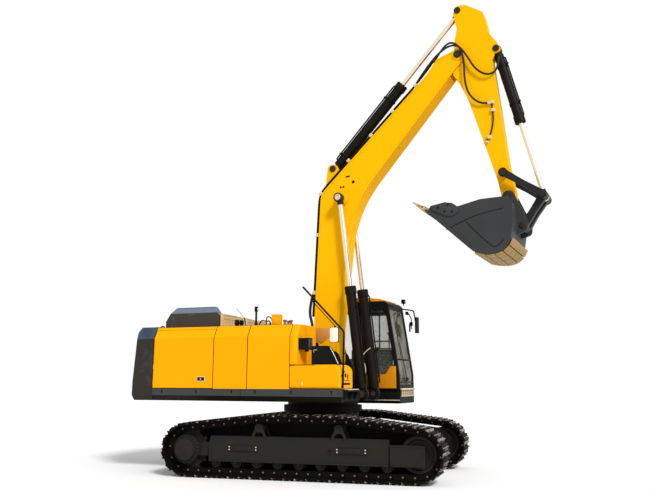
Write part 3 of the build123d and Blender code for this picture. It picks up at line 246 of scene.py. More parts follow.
def finished(piece, body, material, stands=()):
    dressed(piece, body, material)
    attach(piece, body)
    if stands:
        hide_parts(*stands)
    return piece


def fitted(name, body, look, slotName, *rows, stands=()):
    # makes each row's piece with the maker it starts with, joins them and hands them over
    pieces = [maker(*given) for maker, *given in rows]
    return finished(joined(name, pieces), body, looks[look], stands)


def fixedParts(groups):
    for name, given in groups.items():
        fitted(name, *given)


# surfaces


def opaque(colour):
    return (*colour, 1)


def setInputs(node, values):
    for key, value in values.items():
        node.inputs[key].default_value = value


def newNode(tree, kind, values={}, **settings):
    node = tree.nodes.new(kind if kind.startswith("Node") else "ShaderNode" + kind)
    for key, value in settings.items():
        setattr(node, key, value)
    setInputs(node, values)
    return node


def wired(tree, *rows):
    # each row is a node and its output, then a node and its input
    for start, leaving, end, entering in rows:
        tree.links.new(start.outputs[leaving], end.inputs[entering])


def newGroup(name, sockets):
    group = bpy.data.node_groups.new(name, "ShaderNodeTree")
    for label, value in sockets.items():
        kind = "NodeSocketColor" if isinstance(value, tuple) else "NodeSocketFloat"
        group.interface.new_socket(name=label, in_out="INPUT", socket_type=kind).default_value = value
    for label, kind in (("Colour", "NodeSocketColor"), ("Mask", "NodeSocketFloat")):
        group.interface.new_socket(name=label, in_out="OUTPUT", socket_type=kind)
    return group, newNode(group, "NodeGroupInput")


def masked(group, entry, first, second, tint):
    # lays a tint over the colour where both masks are strong
    both = newNode(group, "Math", operation="MULTIPLY")
    strength = newNode(group, "Math", operation="MULTIPLY", use_clamp=True)
    mix = newNode(group, "Mix", data_type="RGBA")
    leave = newNode(group, "NodeGroupOutput")
    wired(
        group, (first, "Result", both, 0), (second, "Result", both, 1), (both, 0, strength, 0),
        (entry, "Amount", strength, 1), (strength, 0, mix, "Factor"), (entry, "Colour", mix, 6),
        (entry, tint, mix, 7), (mix, 2, leave, "Colour"), (strength, 0, leave, "Mask"),
    )
    return group


def buildDustAndSheenGroup():
    # noisy patches of a second colour, stronger on upward faces: real road dust on most finishes, and a
    # painted bluish sky sheen on the top faces of the grey paints and the frame
    group, entry = newGroup("dustAndSheen", {
        "Colour": (0.8, 0.8, 0.8, 1), "Dust And Sheen": (0.5, 0.42, 0.28, 1), "Amount": 0.2, "Grain": 3.0, "Up": 0.3,
    })
    place = newNode(group, "TexCoord")
    clouds = newNode(group, "TexNoise", {"Detail": 8, "Roughness": 0.68})
    specks = newNode(group, "TexNoise", {"Scale": 60, "Detail": 4})
    facing = newNode(group, "NewGeometry")
    split = newNode(group, "SeparateXYZ")
    upward = newNode(group, "Math", operation="MULTIPLY")
    total = newNode(group, "Math", operation="ADD")
    band = newNode(group, "MapRange", {"From Min": 0.54, "From Max": 0.82})
    speckle = newNode(group, "MapRange", {"From Min": 0.35, "From Max": 0.7, "To Min": 0.55})
    wired(
        group, (place, "Object", clouds, "Vector"), (place, "Object", specks, "Vector"),
        (entry, "Grain", clouds, "Scale"), (facing, "Normal", split, 0), (split, "Z", upward, 0),
        (entry, "Up", upward, 1), (clouds, "Fac", total, 0), (upward, 0, total, 1),
        (total, 0, band, "Value"), (specks, "Fac", speckle, "Value"),
    )
    return masked(group, entry, band, speckle, "Dust And Sheen")


def buildWearGroup():
    group, entry = newGroup("edgeWear", {
        "Colour": (0.8, 0.8, 0.8, 1), "Bare": (0.5, 0.45, 0.4, 1), "Amount": 0.5, "Edge Start": 0.52,
    })
    place = newNode(group, "TexCoord")
    shape = newNode(group, "NewGeometry")
    edges = newNode(group, "MapRange", {"From Max": 0.62})
    chips = newNode(group, "TexNoise", {"Scale": 14, "Detail": 9, "Roughness": 0.72})
    chipBand = newNode(group, "MapRange", {"From Min": 0.46, "From Max": 0.58})
    wired(
        group, (entry, "Edge Start", edges, "From Min"), (shape, "Pointiness", edges, "Value"),
        (place, "Object", chips, "Vector"), (chips, "Fac", chipBand, "Value"),
    )
    return masked(group, entry, edges, chipBand, "Bare")


dustAndSheenGroup = buildDustAndSheenGroup()
wearGroup = buildWearGroup()
# what a finish's last entry may change
plainLook = {
    "metallic": 0.0, "coat": 0.0, "tintScale": 0.9, "wear": 0.0, "bare": (0.4, 0.35, 0.3),
    "edgeStart": 0.52, "dustAndSheenUp": 0.12, "dustAndSheenRoughness": 0.85, "grain": 90, "bumpDepth": 0.002,
}


def newMaterial(name, colour, second, dustAndSheenColour, roughness, specular, dustAndSheenAmount, bumpiness, changes={}):
    settings = {**plainLook, **changes}
    material = bpy.data.materials.new(name)
    material.use_nodes = True
    tree = material.node_tree
    shader = tree.nodes["Principled BSDF"]
    setInputs(shader, {
        "Metallic": settings["metallic"], "Roughness": roughness, "Specular IOR Level": specular,
        "Coat Weight": settings["coat"], "Coat Roughness": 0.15,
    })
    place = newNode(tree, "TexCoord")
    tint = newNode(tree, "TexNoise", {"Scale": settings["tintScale"], "Detail": 5})
    tone = newNode(tree, "Mix", {6: opaque(colour), 7: opaque(second)}, data_type="RGBA")
    wear = newNode(tree, "Group", {
        "Bare": opaque(settings["bare"]), "Amount": settings["wear"], "Edge Start": settings["edgeStart"],
    }, node_tree=wearGroup)
    # dust laid over the colour, and on some finishes a painted sky sheen
    dustAndSheenLayer = newNode(tree, "Group", {
        "Dust And Sheen": opaque(dustAndSheenColour), "Amount": dustAndSheenAmount, "Grain": 2.5, "Up": settings["dustAndSheenUp"],
    }, node_tree=dustAndSheenGroup)
    wired(tree, (place, "Object", tint, "Vector"), (tint, "Fac", tone, "Factor"))
    if "lowColour" in settings:
        # a second colour under a fold line
        line = settings["lowLine"]
        split = newNode(tree, "SeparateXYZ")
        fold = newNode(tree, "MapRange", {"From Min": line - 0.006, "From Max": line + 0.006})
        under = newNode(tree, "Mix", {6: opaque(settings["lowColour"])}, data_type="RGBA")
        wired(
            tree, (place, "Object", split, 0), (split, "Z", fold, "Value"),
            (fold, "Result", under, "Factor"), (tone, 2, under, 7),
        )
        tone = under
    rough = newNode(tree, "MapRange", {"To Min": roughness, "To Max": settings["dustAndSheenRoughness"]})
    grain = newNode(tree, "TexNoise", {"Scale": settings["grain"], "Detail": 3})
    bump = newNode(tree, "Bump", {"Strength": bumpiness, "Distance": settings["bumpDepth"]})
    wired(
        tree, (tone, 2, wear, "Colour"), (wear, "Colour", dustAndSheenLayer, "Colour"),
        (dustAndSheenLayer, "Colour", shader, "Base Color"), (dustAndSheenLayer, "Mask", rough, "Value"),
        (rough, "Result", shader, "Roughness"), (place, "Object", grain, "Vector"),
        (grain, "Fac", bump, "Height"), (bump, "Normal", shader, "Normal"),
    )
    return material


def glassMaterial(name, colour, second, roughness, specular, alpha, frontReflection=None):
    material = bpy.data.materials.new(name)
    material.use_nodes = True
    tree = material.node_tree
    shader = tree.nodes["Principled BSDF"]
    setInputs(shader, {"Roughness": roughness, "IOR": 1.45, "Specular IOR Level": specular})
    place = newNode(tree, "TexCoord")
    film = newNode(tree, "TexNoise", {"Scale": 3, "Detail": 6})
    tone = newNode(tree, "Mix", {6: opaque(colour), 7: opaque(second)}, data_type="RGBA")
    cover = newNode(tree, "MapRange", {"To Min": alpha[0], "To Max": alpha[1]})
    coverOutput = "Result"
    wired(
        tree, (place, "Object", film, "Vector"), (film, "Fac", tone, "Factor"),
        (film, "Fac", cover, "Value"),
    )
    if frontReflection:
        # painted reflection on the windscreen's panes: beige patches on faces turned along x, where the
        # glass is also made more opaque
        shape = newNode(tree, "NewGeometry")
        split = newNode(tree, "SeparateXYZ")
        front = newNode(tree, "Math", operation="ABSOLUTE")
        facing = newNode(tree, "MapRange", {"From Min": 0.6, "From Max": 0.8})
        reflectionPatches = newNode(tree, "TexNoise", {"Scale": 2.6, "Detail": 7})
        reflectionCover = newNode(tree, "MapRange", {
            "From Min": 0.4, "From Max": 0.58, "To Min": 0.3, "To Max": 0.85,
        })
        tint = newNode(tree, "Mix", {7: opaque(frontReflection)}, data_type="RGBA")
        reflectionAlpha = newNode(tree, "Mix")
        wired(
            tree, (shape, "Normal", split, 0), (split, "X", front, 0), (front, 0, facing, "Value"),
            (place, "Object", reflectionPatches, "Vector"), (reflectionPatches, "Fac", reflectionCover, "Value"),
            (facing, "Result", tint, "Factor"), (tone, 2, tint, 6), (facing, "Result", reflectionAlpha, "Factor"),
            (cover, coverOutput, reflectionAlpha, 2), (reflectionCover, "Result", reflectionAlpha, 3),
        )
        tone, cover, coverOutput = tint, reflectionAlpha, 0
    wired(tree, (tone, 2, shader, "Base Color"), (cover, coverOutput, shader, "Alpha"))
    return material


# colour, second colour, dust and sheen colour, roughness, specular, dust and sheen amount, bump, then any
# changes
finishes = {
    "yellowPaint": ((0.92, 0.455, 0.001), (0.88, 0.43, 0.001), (0.8, 0.45, 0.1), 0.55, 0.03, 0.02, 0.004),
    "bodyYellow": ((0.92, 0.375, 0.001), (0.88, 0.35, 0.001), (0.8, 0.48, 0.12), 0.5, 0.04, 0.02, 0.004),
    # counterweight grey: its blue dust and sheen colour, strongest on upward faces, is a painted sky
    # reflection on the top chamfer
    "greyPaint": ((0.026, 0.024, 0.018), (0.029, 0.026, 0.019), (0.052, 0.082, 0.15), 0.5, 0.1, 1.0,
        0.06, {"grain": 160, "dustAndSheenUp": 0.7}),
    # engine hood grey: its blue dust and sheen colour on upward faces is a painted sky reflection
    "hoodGrey": ((0.036, 0.031, 0.024), (0.04, 0.034, 0.026), (0.17, 0.22, 0.29), 0.4, 0.18, 0.95, 0.05,
        {"dustAndSheenUp": 0.6}),
    "skirtGrey": ((0.048, 0.049, 0.052), (0.042, 0.042, 0.042), (0.12, 0.12, 0.12), 0.45, 0.1, 0.04,
        0.06, {"lowColour": (0.011, 0.01, 0.006), "lowLine": 1.487}),
    "blackPaint": ((0.006, 0.006, 0.006), (0.008, 0.0075, 0.007), (0.06, 0.05, 0.04), 0.5, 0.06, 0.03,
        0.06),
    "gripBlack": ((0.01, 0.009, 0.008), (0.02, 0.016, 0.01), (0.1, 0.07, 0.04), 0.85, 0.1, 0.15, 0.7,
        {"grain": 240, "bumpDepth": 0.004}),
    "rubber": ((0.008, 0.008, 0.008), (0.012, 0.011, 0.01), (0.12, 0.1, 0.07), 0.55, 0.25, 0.05, 0.2,
        {"grain": 220, "bumpDepth": 0.003}),
    "hoseRed": ((0.09, 0.018, 0.01), (0.05, 0.012, 0.008), (0.5, 0.42, 0.28), 0.5, 0.25, 0.05, 0.15,
        {"grain": 160}),
    "barrelPaint": ((0.008, 0.006, 0.004), (0.012, 0.009, 0.006), (0.06, 0.045, 0.03), 0.45, 0.06, 0.03,
        0.05),
    "rodChrome": ((0.86, 0.78, 0.62), (0.78, 0.72, 0.6), (0.5, 0.42, 0.28), 0.16, 0.5, 0.03, 0.01,
        {"metallic": 1.0, "dustAndSheenRoughness": 0.4}),
    "brightSteel": ((0.66, 0.6, 0.48), (0.5, 0.44, 0.34), (0.4, 0.3, 0.18), 0.35, 0.5, 0.08, 0.1,
        {"metallic": 0.7, "grain": 80}),
    "pinBright": ((0.26, 0.21, 0.15), (0.1, 0.08, 0.05), (0.3, 0.22, 0.13), 0.4, 0.5, 0.08, 0.1,
        {"metallic": 0.4, "grain": 80, "tintScale": 7}),
    "pinSteel": ((0.1, 0.065, 0.035), (0.05, 0.038, 0.026), (0.25, 0.16, 0.08), 0.5, 0.5, 0.12, 0.3,
        {"metallic": 0.5, "grain": 60}),
    "capBrown": ((0.24, 0.12, 0.04), (0.15, 0.07, 0.02), (0.5, 0.42, 0.28), 0.45, 0.3, 0.1, 0.2,
        {"grain": 120}),
    "trackSteel": ((0.003, 0.003, 0.0028), (0.006, 0.005, 0.004), (0.08, 0.06, 0.04), 0.55, 0.03, 0.05,
        0.3, {"grain": 40, "tintScale": 5}),
    "shoeSteel": ((0.01, 0.009, 0.007), (0.06, 0.048, 0.034), (0.14, 0.11, 0.07), 0.38, 0.2, 0.05, 0.35,
        {"metallic": 0.5, "wear": 0.8, "bare": (0.6, 0.52, 0.4), "edgeStart": 0.53, "grain": 40,
        "tintScale": 9}),
    "linkSteel": ((0.0035, 0.0032, 0.0028), (0.009, 0.008, 0.006), (0.1, 0.08, 0.05), 0.5, 0.03, 0.05,
        0.3, {"grain": 45, "tintScale": 6}),
    # frame steel: its bluish dust and sheen colour, leaning to upward faces, is a painted sky reflection on
    # the frame's top slopes
    "frameSteel": ((0.0165, 0.0155, 0.0125), (0.019, 0.0175, 0.0138), (0.01, 0.013, 0.022), 0.5, 0.07,
        0.55, 0.08, {"dustAndSheenUp": 0.35}),
    "driveBrown": ((0.016, 0.013, 0.009), (0.02, 0.016, 0.01), (0.06, 0.05, 0.04), 0.45, 0.1, 0.05, 0.08),
    "bucketPaint": ((0.046, 0.05, 0.056), (0.03, 0.029, 0.027), (0.12, 0.1, 0.07), 0.48, 0.1, 0.05, 0.12,
        {"grain": 50, "tintScale": 1.2}),
    "wornStrap": ((0.4, 0.25, 0.075), (0.28, 0.18, 0.05), (0.46, 0.33, 0.14), 0.5, 0.1, 0.1, 0.12,
        {"grain": 45, "tintScale": 3}),
    "toothTan": ((0.46, 0.27, 0.07), (0.2, 0.13, 0.06), (0.45, 0.32, 0.16), 0.45, 0.5, 0.1, 0.3,
        {"metallic": 0.3, "wear": 0.6, "bare": (0.62, 0.56, 0.46), "edgeStart": 0.53, "grain": 40,
        "tintScale": 5}),
    "grilleBeige": ((0.62, 0.46, 0.22), (0.56, 0.41, 0.19), (0.66, 0.55, 0.34), 0.5, 0.25, 0.08, 0.1),
    "clampCream": ((0.66, 0.56, 0.37), (0.56, 0.46, 0.3), (0.5, 0.42, 0.28), 0.5, 0.3, 0.1, 0.1),
    "stepWhite": ((0.78, 0.77, 0.74), (0.66, 0.65, 0.62), (0.5, 0.42, 0.28), 0.5, 0.3, 0.1, 0.1),
    "mirrorWhite": ((0.82, 0.77, 0.66), (0.76, 0.71, 0.6), (0.5, 0.42, 0.28), 0.4, 0.3, 0.03, 0.03),
    "darkLens": ((0.03, 0.031, 0.03), (0.055, 0.052, 0.045), (0.5, 0.42, 0.28), 0.15, 0.3, 0.03, 0.05,
        {"tintScale": 14}),
    "lampLens": ((0.55, 0.57, 0.55), (0.72, 0.72, 0.68), (0.5, 0.42, 0.28), 0.12, 0.5, 0.03, 0.05,
        {"coat": 0.8, "tintScale": 14}),
    "lampRed": ((0.34, 0.012, 0.008), (0.26, 0.01, 0.008), (0.5, 0.42, 0.28), 0.15, 0.5, 0.05, 0.05,
        {"coat": 0.6}),
    "mirrorGlass": ((0.86, 0.87, 0.86), (0.8, 0.8, 0.78), (0.5, 0.42, 0.28), 0.05, 0.5, 0.02, 0.05,
        {"metallic": 1.0}),
    # the cab's yellow side panel darkened to orange: painted shade
    "cabOrange": ((0.66, 0.25, 0.003), (0.6, 0.22, 0.003), (0.6, 0.32, 0.08), 0.45, 0.08, 0.03, 0.03),
    "bootTan": ((0.62, 0.27, 0.06), (0.56, 0.24, 0.05), (0.5, 0.42, 0.28), 0.5, 0.1, 0.05, 0.05),
    "bucketDark": ((0.01, 0.01, 0.009), (0.016, 0.014, 0.012), (0.06, 0.05, 0.04), 0.6, 0.1, 0.05, 0.3,
        {"grain": 90}),
    # near-black for the sheets inside the tracks: painted shade
    "shadeSheetDark": ((0.006, 0.006, 0.005), (0.009, 0.008, 0.006), (0.04, 0.03, 0.02), 0.7, 0.04, 0.03, 0.12),
    "linkPaint": ((0.02, 0.02, 0.02), (0.014, 0.013, 0.012), (0.12, 0.1, 0.07), 0.48, 0.12, 0.05, 0.12,
        {"grain": 50, "tintScale": 3}),
    "eyeBrown": ((0.03, 0.02, 0.012), (0.016, 0.012, 0.008), (0.12, 0.09, 0.05), 0.5, 0.2, 0.08, 0.15,
        {"grain": 60, "tintScale": 5}),
    "seamBrown": ((0.06, 0.02, 0.006), (0.04, 0.014, 0.005), (0.5, 0.42, 0.28), 0.7, 0.05, 0.0, 0.02),
    "seatCloth": ((0.016, 0.016, 0.018), (0.024, 0.023, 0.022), (0.5, 0.42, 0.28), 0.9, 0.1, 0.05, 0.5,
        {"grain": 420, "bumpDepth": 0.003}),
    "trimPlastic": ((0.02, 0.02, 0.02), (0.028, 0.027, 0.025), (0.5, 0.42, 0.28), 0.6, 0.25, 0.05, 0.3,
        {"grain": 300}),
    "bearingDark": ((0.012, 0.009, 0.006), (0.007, 0.006, 0.005), (0.05, 0.03, 0.02), 0.6, 0.04, 0.05,
        0.25, {"grain": 45, "tintScale": 6}),
}
looks = {name: newMaterial(name, *settings) for name, settings in finishes.items()}
# colour, second colour, roughness, specular, range of alpha, then the colour of any painted reflection on
# the front panes
glasses = {
    "cabGlass": ((0.2, 0.24, 0.17), (0.3, 0.32, 0.22), 0.04, 0.25, (0.05, 0.14), (0.15, 0.145, 0.09)),
    "doorGlass": ((0.5, 0.56, 0.32), (0.62, 0.66, 0.4), 0.05, 0.3, (0.3, 0.5)),
}
looks.update({name: glassMaterial(name, *settings) for name, settings in glasses.items()})
print("materials made:", len(looks))

nodeLooks = {
    "blackPaint": ("deck", "centre_cover", "roof_fittings", "step_cover", "front_step", "handrail",
        "mirrors", "work_lamps", "cab_shell", "cab_door"),
    "pinSteel": ("deck_pins",),
    "skirtGrey": ("side_skirts",),
    "greyPaint": ("counterweight",),
    "bodyYellow": ("hydraulic_tank", "fuel_tank", "hood_top", "tool_box", "cab_roof", "right_door",
        "left_rear_door", "left_front_door"),
    "frameSteel": ("engine", "carbody", "track_frame_right", "track_frame_left", "track_rollers",
        "idlers", "final_drives"),
    "grilleBeige": ("hood_ramp",),
    "cabGlass": ("cab_glass",),
    "trimPlastic": ("operator_station",),
    "hoodGrey": ("engine_hood",),
    "doorGlass": ("door_glass",),
    "yellowPaint": ("boom", "arm"),
    "eyeBrown": ("boom_pins", "arm_pins", "bucket_pins"),
    "barrelPaint": ("boom_ram_barrels", "arm_ram_barrel", "bucket_ram_barrel"),
    "rodChrome": ("boom_ram_rods", "arm_ram_rod", "bucket_ram_rod"),
    "linkPaint": ("arm_links", "bucket_link"),
    "bucketPaint": ("bucket",),
    "toothTan": ("bucket_teeth",),
    "bearingDark": ("swing_bearing",),
    "trackSteel": ("track_right", "track_left"),
}
for look, dressedNodes in nodeLooks.items():
    for nodeName in dressedNodes:
        nodes[nodeName].data.materials.clear()
        nodes[nodeName].data.materials.append(looks[look])
print("CAD nodes dressed:", sum(len(names) for names in nodeLooks.values()))

# stage, light and camera
stageLook = {
    "floor": (0.93, 0.93, 0.93), "reach": 60.0, "drop": 0.002, "white": (1, 1, 1, 1), "world": 0.56,
    # name, energy, spread in degrees, way the light goes
    "suns": (("keyLight", 2.7, 12, (-0.58, 0.52, -0.62)), ("fillLight", 0.4, 40, (-0.8, 0.3, -0.5))),
}


def buildStage():
    clearSelection()
    bpy.ops.mesh.primitive_plane_add(size=stageLook["reach"] * 2, location=(0, 0, -stageLook["drop"]))
    floor = settle(named("studioFloor"))
    material = bpy.data.materials.new("studioFloor")
    material.use_nodes = True
    setInputs(material.node_tree.nodes["Principled BSDF"], {
        "Base Color": opaque(stageLook["floor"]), "Roughness": 0.9, "Specular IOR Level": 0.1,
    })
    floor.data.materials.append(material)


def buildLight():
    world = bpy.data.worlds.new("studio")
    bpy.context.scene.world = world
    world.use_nodes = True
    tree = world.node_tree
    soft = tree.nodes["Background"]
    setInputs(soft, {"Color": stageLook["white"], "Strength": stageLook["world"]})
    seen = newNode(tree, "Background", {"Color": stageLook["white"], "Strength": 1.0})
    rays = newNode(tree, "LightPath")
    either = newNode(tree, "Math", operation="MAXIMUM")
    third = newNode(tree, "Math", operation="MAXIMUM")
    choose = newNode(tree, "MixShader")
    wired(
        tree, (rays, "Is Camera Ray", either, 0), (rays, "Is Glossy Ray", either, 1), (either, 0, third, 0),
        (rays, "Is Transmission Ray", third, 1), (third, 0, choose, "Fac"), (soft, 0, choose, 1),
        (seen, 0, choose, 2), (choose, 0, tree.nodes["World Output"], "Surface"),
    )
    for name, energy, spread, way in stageLook["suns"]:
        sun = bpy.data.lights.new(name, "SUN")
        sun.energy = energy
        sun.angle = math.radians(spread)
        light = bpy.data.objects.new(name, sun)
        light.rotation_euler = Vector(way).to_track_quat("-Z", "Y").to_euler()
        bpy.context.scene.collection.objects.link(light)


cameraView = {
    "place": (6.064, -15.108, 1.806), "turn": 22.81, "pitch": 9.467, "roll": 0.05, "lens": 44.14,
    "sensor": 36, "reach": 300,
}


def buildCamera():
    lens = bpy.data.cameras.new("camera")
    lens.lens = cameraView["lens"]
    lens.sensor_width = cameraView["sensor"]
    lens.clip_end = cameraView["reach"]
    camera = bpy.data.objects.new("camera", lens)
    turn, pitch, roll = (math.radians(cameraView[key]) for key in ("turn", "pitch", "roll"))
    look = Vector((-math.sin(turn) * math.cos(pitch), math.cos(turn) * math.cos(pitch), math.sin(pitch)))
    aim = look.to_track_quat("-Z", "Y").to_matrix() @ Matrix.Rotation(roll, 3, "Z")
    camera.rotation_euler = aim.to_euler()
    camera.location = cameraView["place"]
    bpy.context.scene.collection.objects.link(camera)
    bpy.context.scene.camera = camera


buildStage()
buildLight()
buildCamera()
bpy.context.scene.view_settings.view_transform = "Standard"
print("stage, light and camera set")

# track detail
trackLine = {
    "wheels": ((-2.205, 0.5, 0.39), (-0.77, 0.908, 0.147), (0.765, 0.908, 0.147), (2.205, 0.5, 0.39)),
    "shoes": 52, "centre": 1.369, "railFace": 0.1025, "halfWidth": 0.309, "arcSteps": 60, "plate": 0.012,
    "link": (
        (-0.04, -0.02), (-0.03, 0.03), (-0.012, 0.046), (0.165, 0.046), (0.172, 0.02), (0.168, -0.03),
        (0.15, -0.048), (0.118, -0.048), (0.095, -0.026), (0.042, -0.026), (0.018, -0.05), (-0.022, -0.05),
    ),
    "pinEnd": ((0, 0.017), (0.006, 0.017), (0.009, 0.01)), "pinOut": 0.01,
    "pad": (
        (0.148, 0.062), (0.152, 0.0865), (0.18, 0.0865), (0.185, 0.104), (0.193, 0.104),
        (0.198, 0.0865), (0.206, 0.064),
    ),
    "ridge": ((0.06, 0.088), (0.066, 0.1065), (0.074, 0.1075), (0.082, 0.094)),
    "boltX": (0.098, 0.12), "boltY": (-0.105, -0.045, 0.045, 0.105), "boltZ": (0.085, 0.106), "bolt": 0.013,
}


def beltPins():
    # the closed pin line round the wheels, cut into equal steps from the foot of the rear wheel
    wheels, shoes, steps = trackLine["wheels"], trackLine["shoes"], trackLine["arcSteps"]
    touches = []
    for (x1, z1, r1), (x2, z2, r2) in zip(wheels, wheels[1:] + wheels[:1]):
        run = Vector((x2 - x1, z2 - z1))
        reach = run.length
        run.normalize()
        lean = (r1 - r2) / reach
        out = run * lean + Vector((-run.y, run.x)) * math.sqrt(1 - lean * lean)
        touches.append((Vector((x1, z1)) + out * r1, Vector((x2, z2)) + out * r2))
    route = []
    for index, (x, z, radius) in enumerate(wheels):
        entry, leave = touches[index - 1][1], touches[index][0]
        start = math.atan2(entry.y - z, entry.x - x)
        sweep = (start - math.atan2(leave.y - z, leave.x - x)) % (2 * math.pi)
        for step in range(steps + 1):
            angle = start - sweep * step / steps
            route.append(Vector((x + radius * math.cos(angle), z + radius * math.sin(angle))))
    route.append(route[0].copy())
    lengths = [(b - a).length for a, b in zip(route, route[1:])]
    pitch = sum(lengths) / shoes
    pins, gone = [], 0.0
    for a, b, length in zip(route, route[1:], lengths):
        while len(pins) * pitch <= gone + length and len(pins) < shoes:
            share = (len(pins) * pitch - gone) / length if length else 0
            pins.append(a + (b - a) * share)
        gone += length
    return pins


def alongBelt(name, look, rows):
    # one link's piece at every pin, each turned to its own stretch
    model = joined(name + "Link", [maker(*given) for maker, *given in rows])
    pins = beltPins()
    copies = []
    for here, there in zip(pins, pins[1:] + pins[:1]):
        run = there - here
        turn = Matrix.Rotation(-math.atan2(run.y, run.x), 4, "Y")
        copies.append(twinOf(model, Matrix.Translation((here.x, 0, here.y)) @ turn))
    bpy.data.objects.remove(model)
    finished(joined(name, copies), "undercarriage", looks[look])


def buildTracks():
    d = trackLine
    for side, sign in bothSides:
        middle = sign * d["centre"]
        faces = [(middle + rail * d["railFace"], rail) for rail in (-1, 1)]
        alongBelt("trackLinks" + side, "linkSteel", [
            (sideSlab, "linkPlate", d["link"], *sorted((face, face + rail * d["plate"])), 0)
            for face, rail in faces
        ])
        alongBelt("trackPinEnds" + side, "pinBright", [
            (turned, "pinEnd", (0, face + rail * d["pinOut"], 0), (0, rail, 0), d["pinEnd"], 10)
            for face, rail in faces
        ])
        low, high = middle - d["halfWidth"], middle + d["halfWidth"]
        foot, head = d["boltZ"]
        alongBelt("trackTread" + side, "shoeSteel", [
            (sideSlab, "shoeEnd", d["pad"], low, high, 0),
            (sideSlab, "shoeRidge", d["ridge"], low, high, 0),
        ] + [
            (bar, "shoeBolt", (x, middle + y, foot), (x, middle + y, head), d["bolt"], 6)
            for x in d["boltX"] for y in d["boltY"]
        ])
    print("track links, pins and tread made")


# side frames and drives
frameDetail = {
    # name, two (x, z) corners, then the near and far y values
    "lips": (
        ("lipLow", (-1.748, 0.292), (1.683, 0.318), -1.566, -1.554),
        ("lipRear", (-1.748, 0.318), (-1.703, 0.612), -1.566, -1.554),
        ("lipFront", (1.655, 0.318), (1.683, 0.612), -1.566, -1.554),
        ("guardTop", (1.725, 0.628), (2.315, 0.655), -1.568, -1.558),
        ("guardLow", (1.725, 0.297), (2.315, 0.322), -1.568, -1.558),
        ("guardRear", (1.716, 0.297), (1.744, 0.655), -1.568, -1.558),
        ("stepPad", (-1.235, 0.503), (-0.885, 0.577), -1.586, -1.579),
        ("stepLug", (-1.298, 0.497), (-1.268, 0.583), -1.589, -1.579),
        ("stepPad", (0.845, 0.503), (1.185, 0.577), -1.586, -1.579),
        ("stepLug", (0.782, 0.497), (0.812, 0.583), -1.589, -1.579),
    ),
    "boltX": (-1.325, -0.795, 0.755, 1.275), "boltZ": (0.516, 0.564), "boltY": (-1.579, -1.591),
    "drive": (-2.205, 0.5), "driveFace": 1.59, "lidFace": 1.662, "plugFace": 1.67,
    "lid": ((0, 0.186), (0.006, 0.186), (0.01, 0.176), (0.01, 0.06), (0.014, 0.054), (0.014, 0.02)),
    "bearing": (0, 0, 1.2995),
}


def boltRing(name, centre, axis, ringRadius, count, boltRadius, depth):
    bolts = []
    axis = Vector(axis)
    sideways = axis.orthogonal().normalized()
    other = axis.cross(sideways)
    for index in range(count):
        angle = 2 * math.pi * (index + 0.5) / count
        foot = Vector(centre) + (sideways * math.cos(angle) + other * math.sin(angle)) * ringRadius
        bolts.append(bar("bolt", foot, foot + axis * depth, boltRadius, 6, boltRadius * 0.15))
    return joined(name, bolts)


def mirrored(name, look, rows):
    # the right track frame's dressing and the same on the left
    right = joined(name + "Right", [maker(*given) for maker, *given in rows])
    left = twinOf(right, Matrix.Scale(-1, 4, (0, 1, 0)))
    left.name = name + "Left"
    left.data.flip_normals()
    for piece in (right, left):
        finished(piece, "undercarriage", looks[look])


def buildFrames():
    d = frameDetail
    mirrored("frameLip", "frameSteel", [(sidePlate, *given) for given in d["lips"]])
    near, far = d["boltY"]
    mirrored("stepBolts", "clampCream", [
        (bar, "stepBolt", (x, near, z), (x, far, z), 0.0135, 6, 0.002)
        for x in d["boltX"] for z in d["boltZ"]
    ])
    x, z = d["drive"]
    for side, sign in bothSides:
        out = (0, sign, 0)
        fitted("driveBolts" + side, "undercarriage", "linkSteel", "wheel_steel", (
            boltRing, "driveBolts", (x, sign * d["driveFace"], z), out, 0.236, 22, 0.014, 0.016,
        ))
        fitted(
            "driveLid" + side, "undercarriage", "driveBrown", "wheel_steel",
            (turned, "driveLid", (x, sign * d["lidFace"], z), out, d["lid"], 40),
            (boltRing, "lidPlugs", (x, sign * d["plugFace"], z), out, 0.118, 3, 0.013, 0.01),
        )
    fitted("bearingBolts", "undercarriage", "linkSteel", "wheel_steel", (
        boltRing, "bearingBolts", d["bearing"], (0, 0, 1), 0.742, 40, 0.015, 0.005,
    ))
    print("side frames and drives dressed")


buildTracks()
buildFrames()

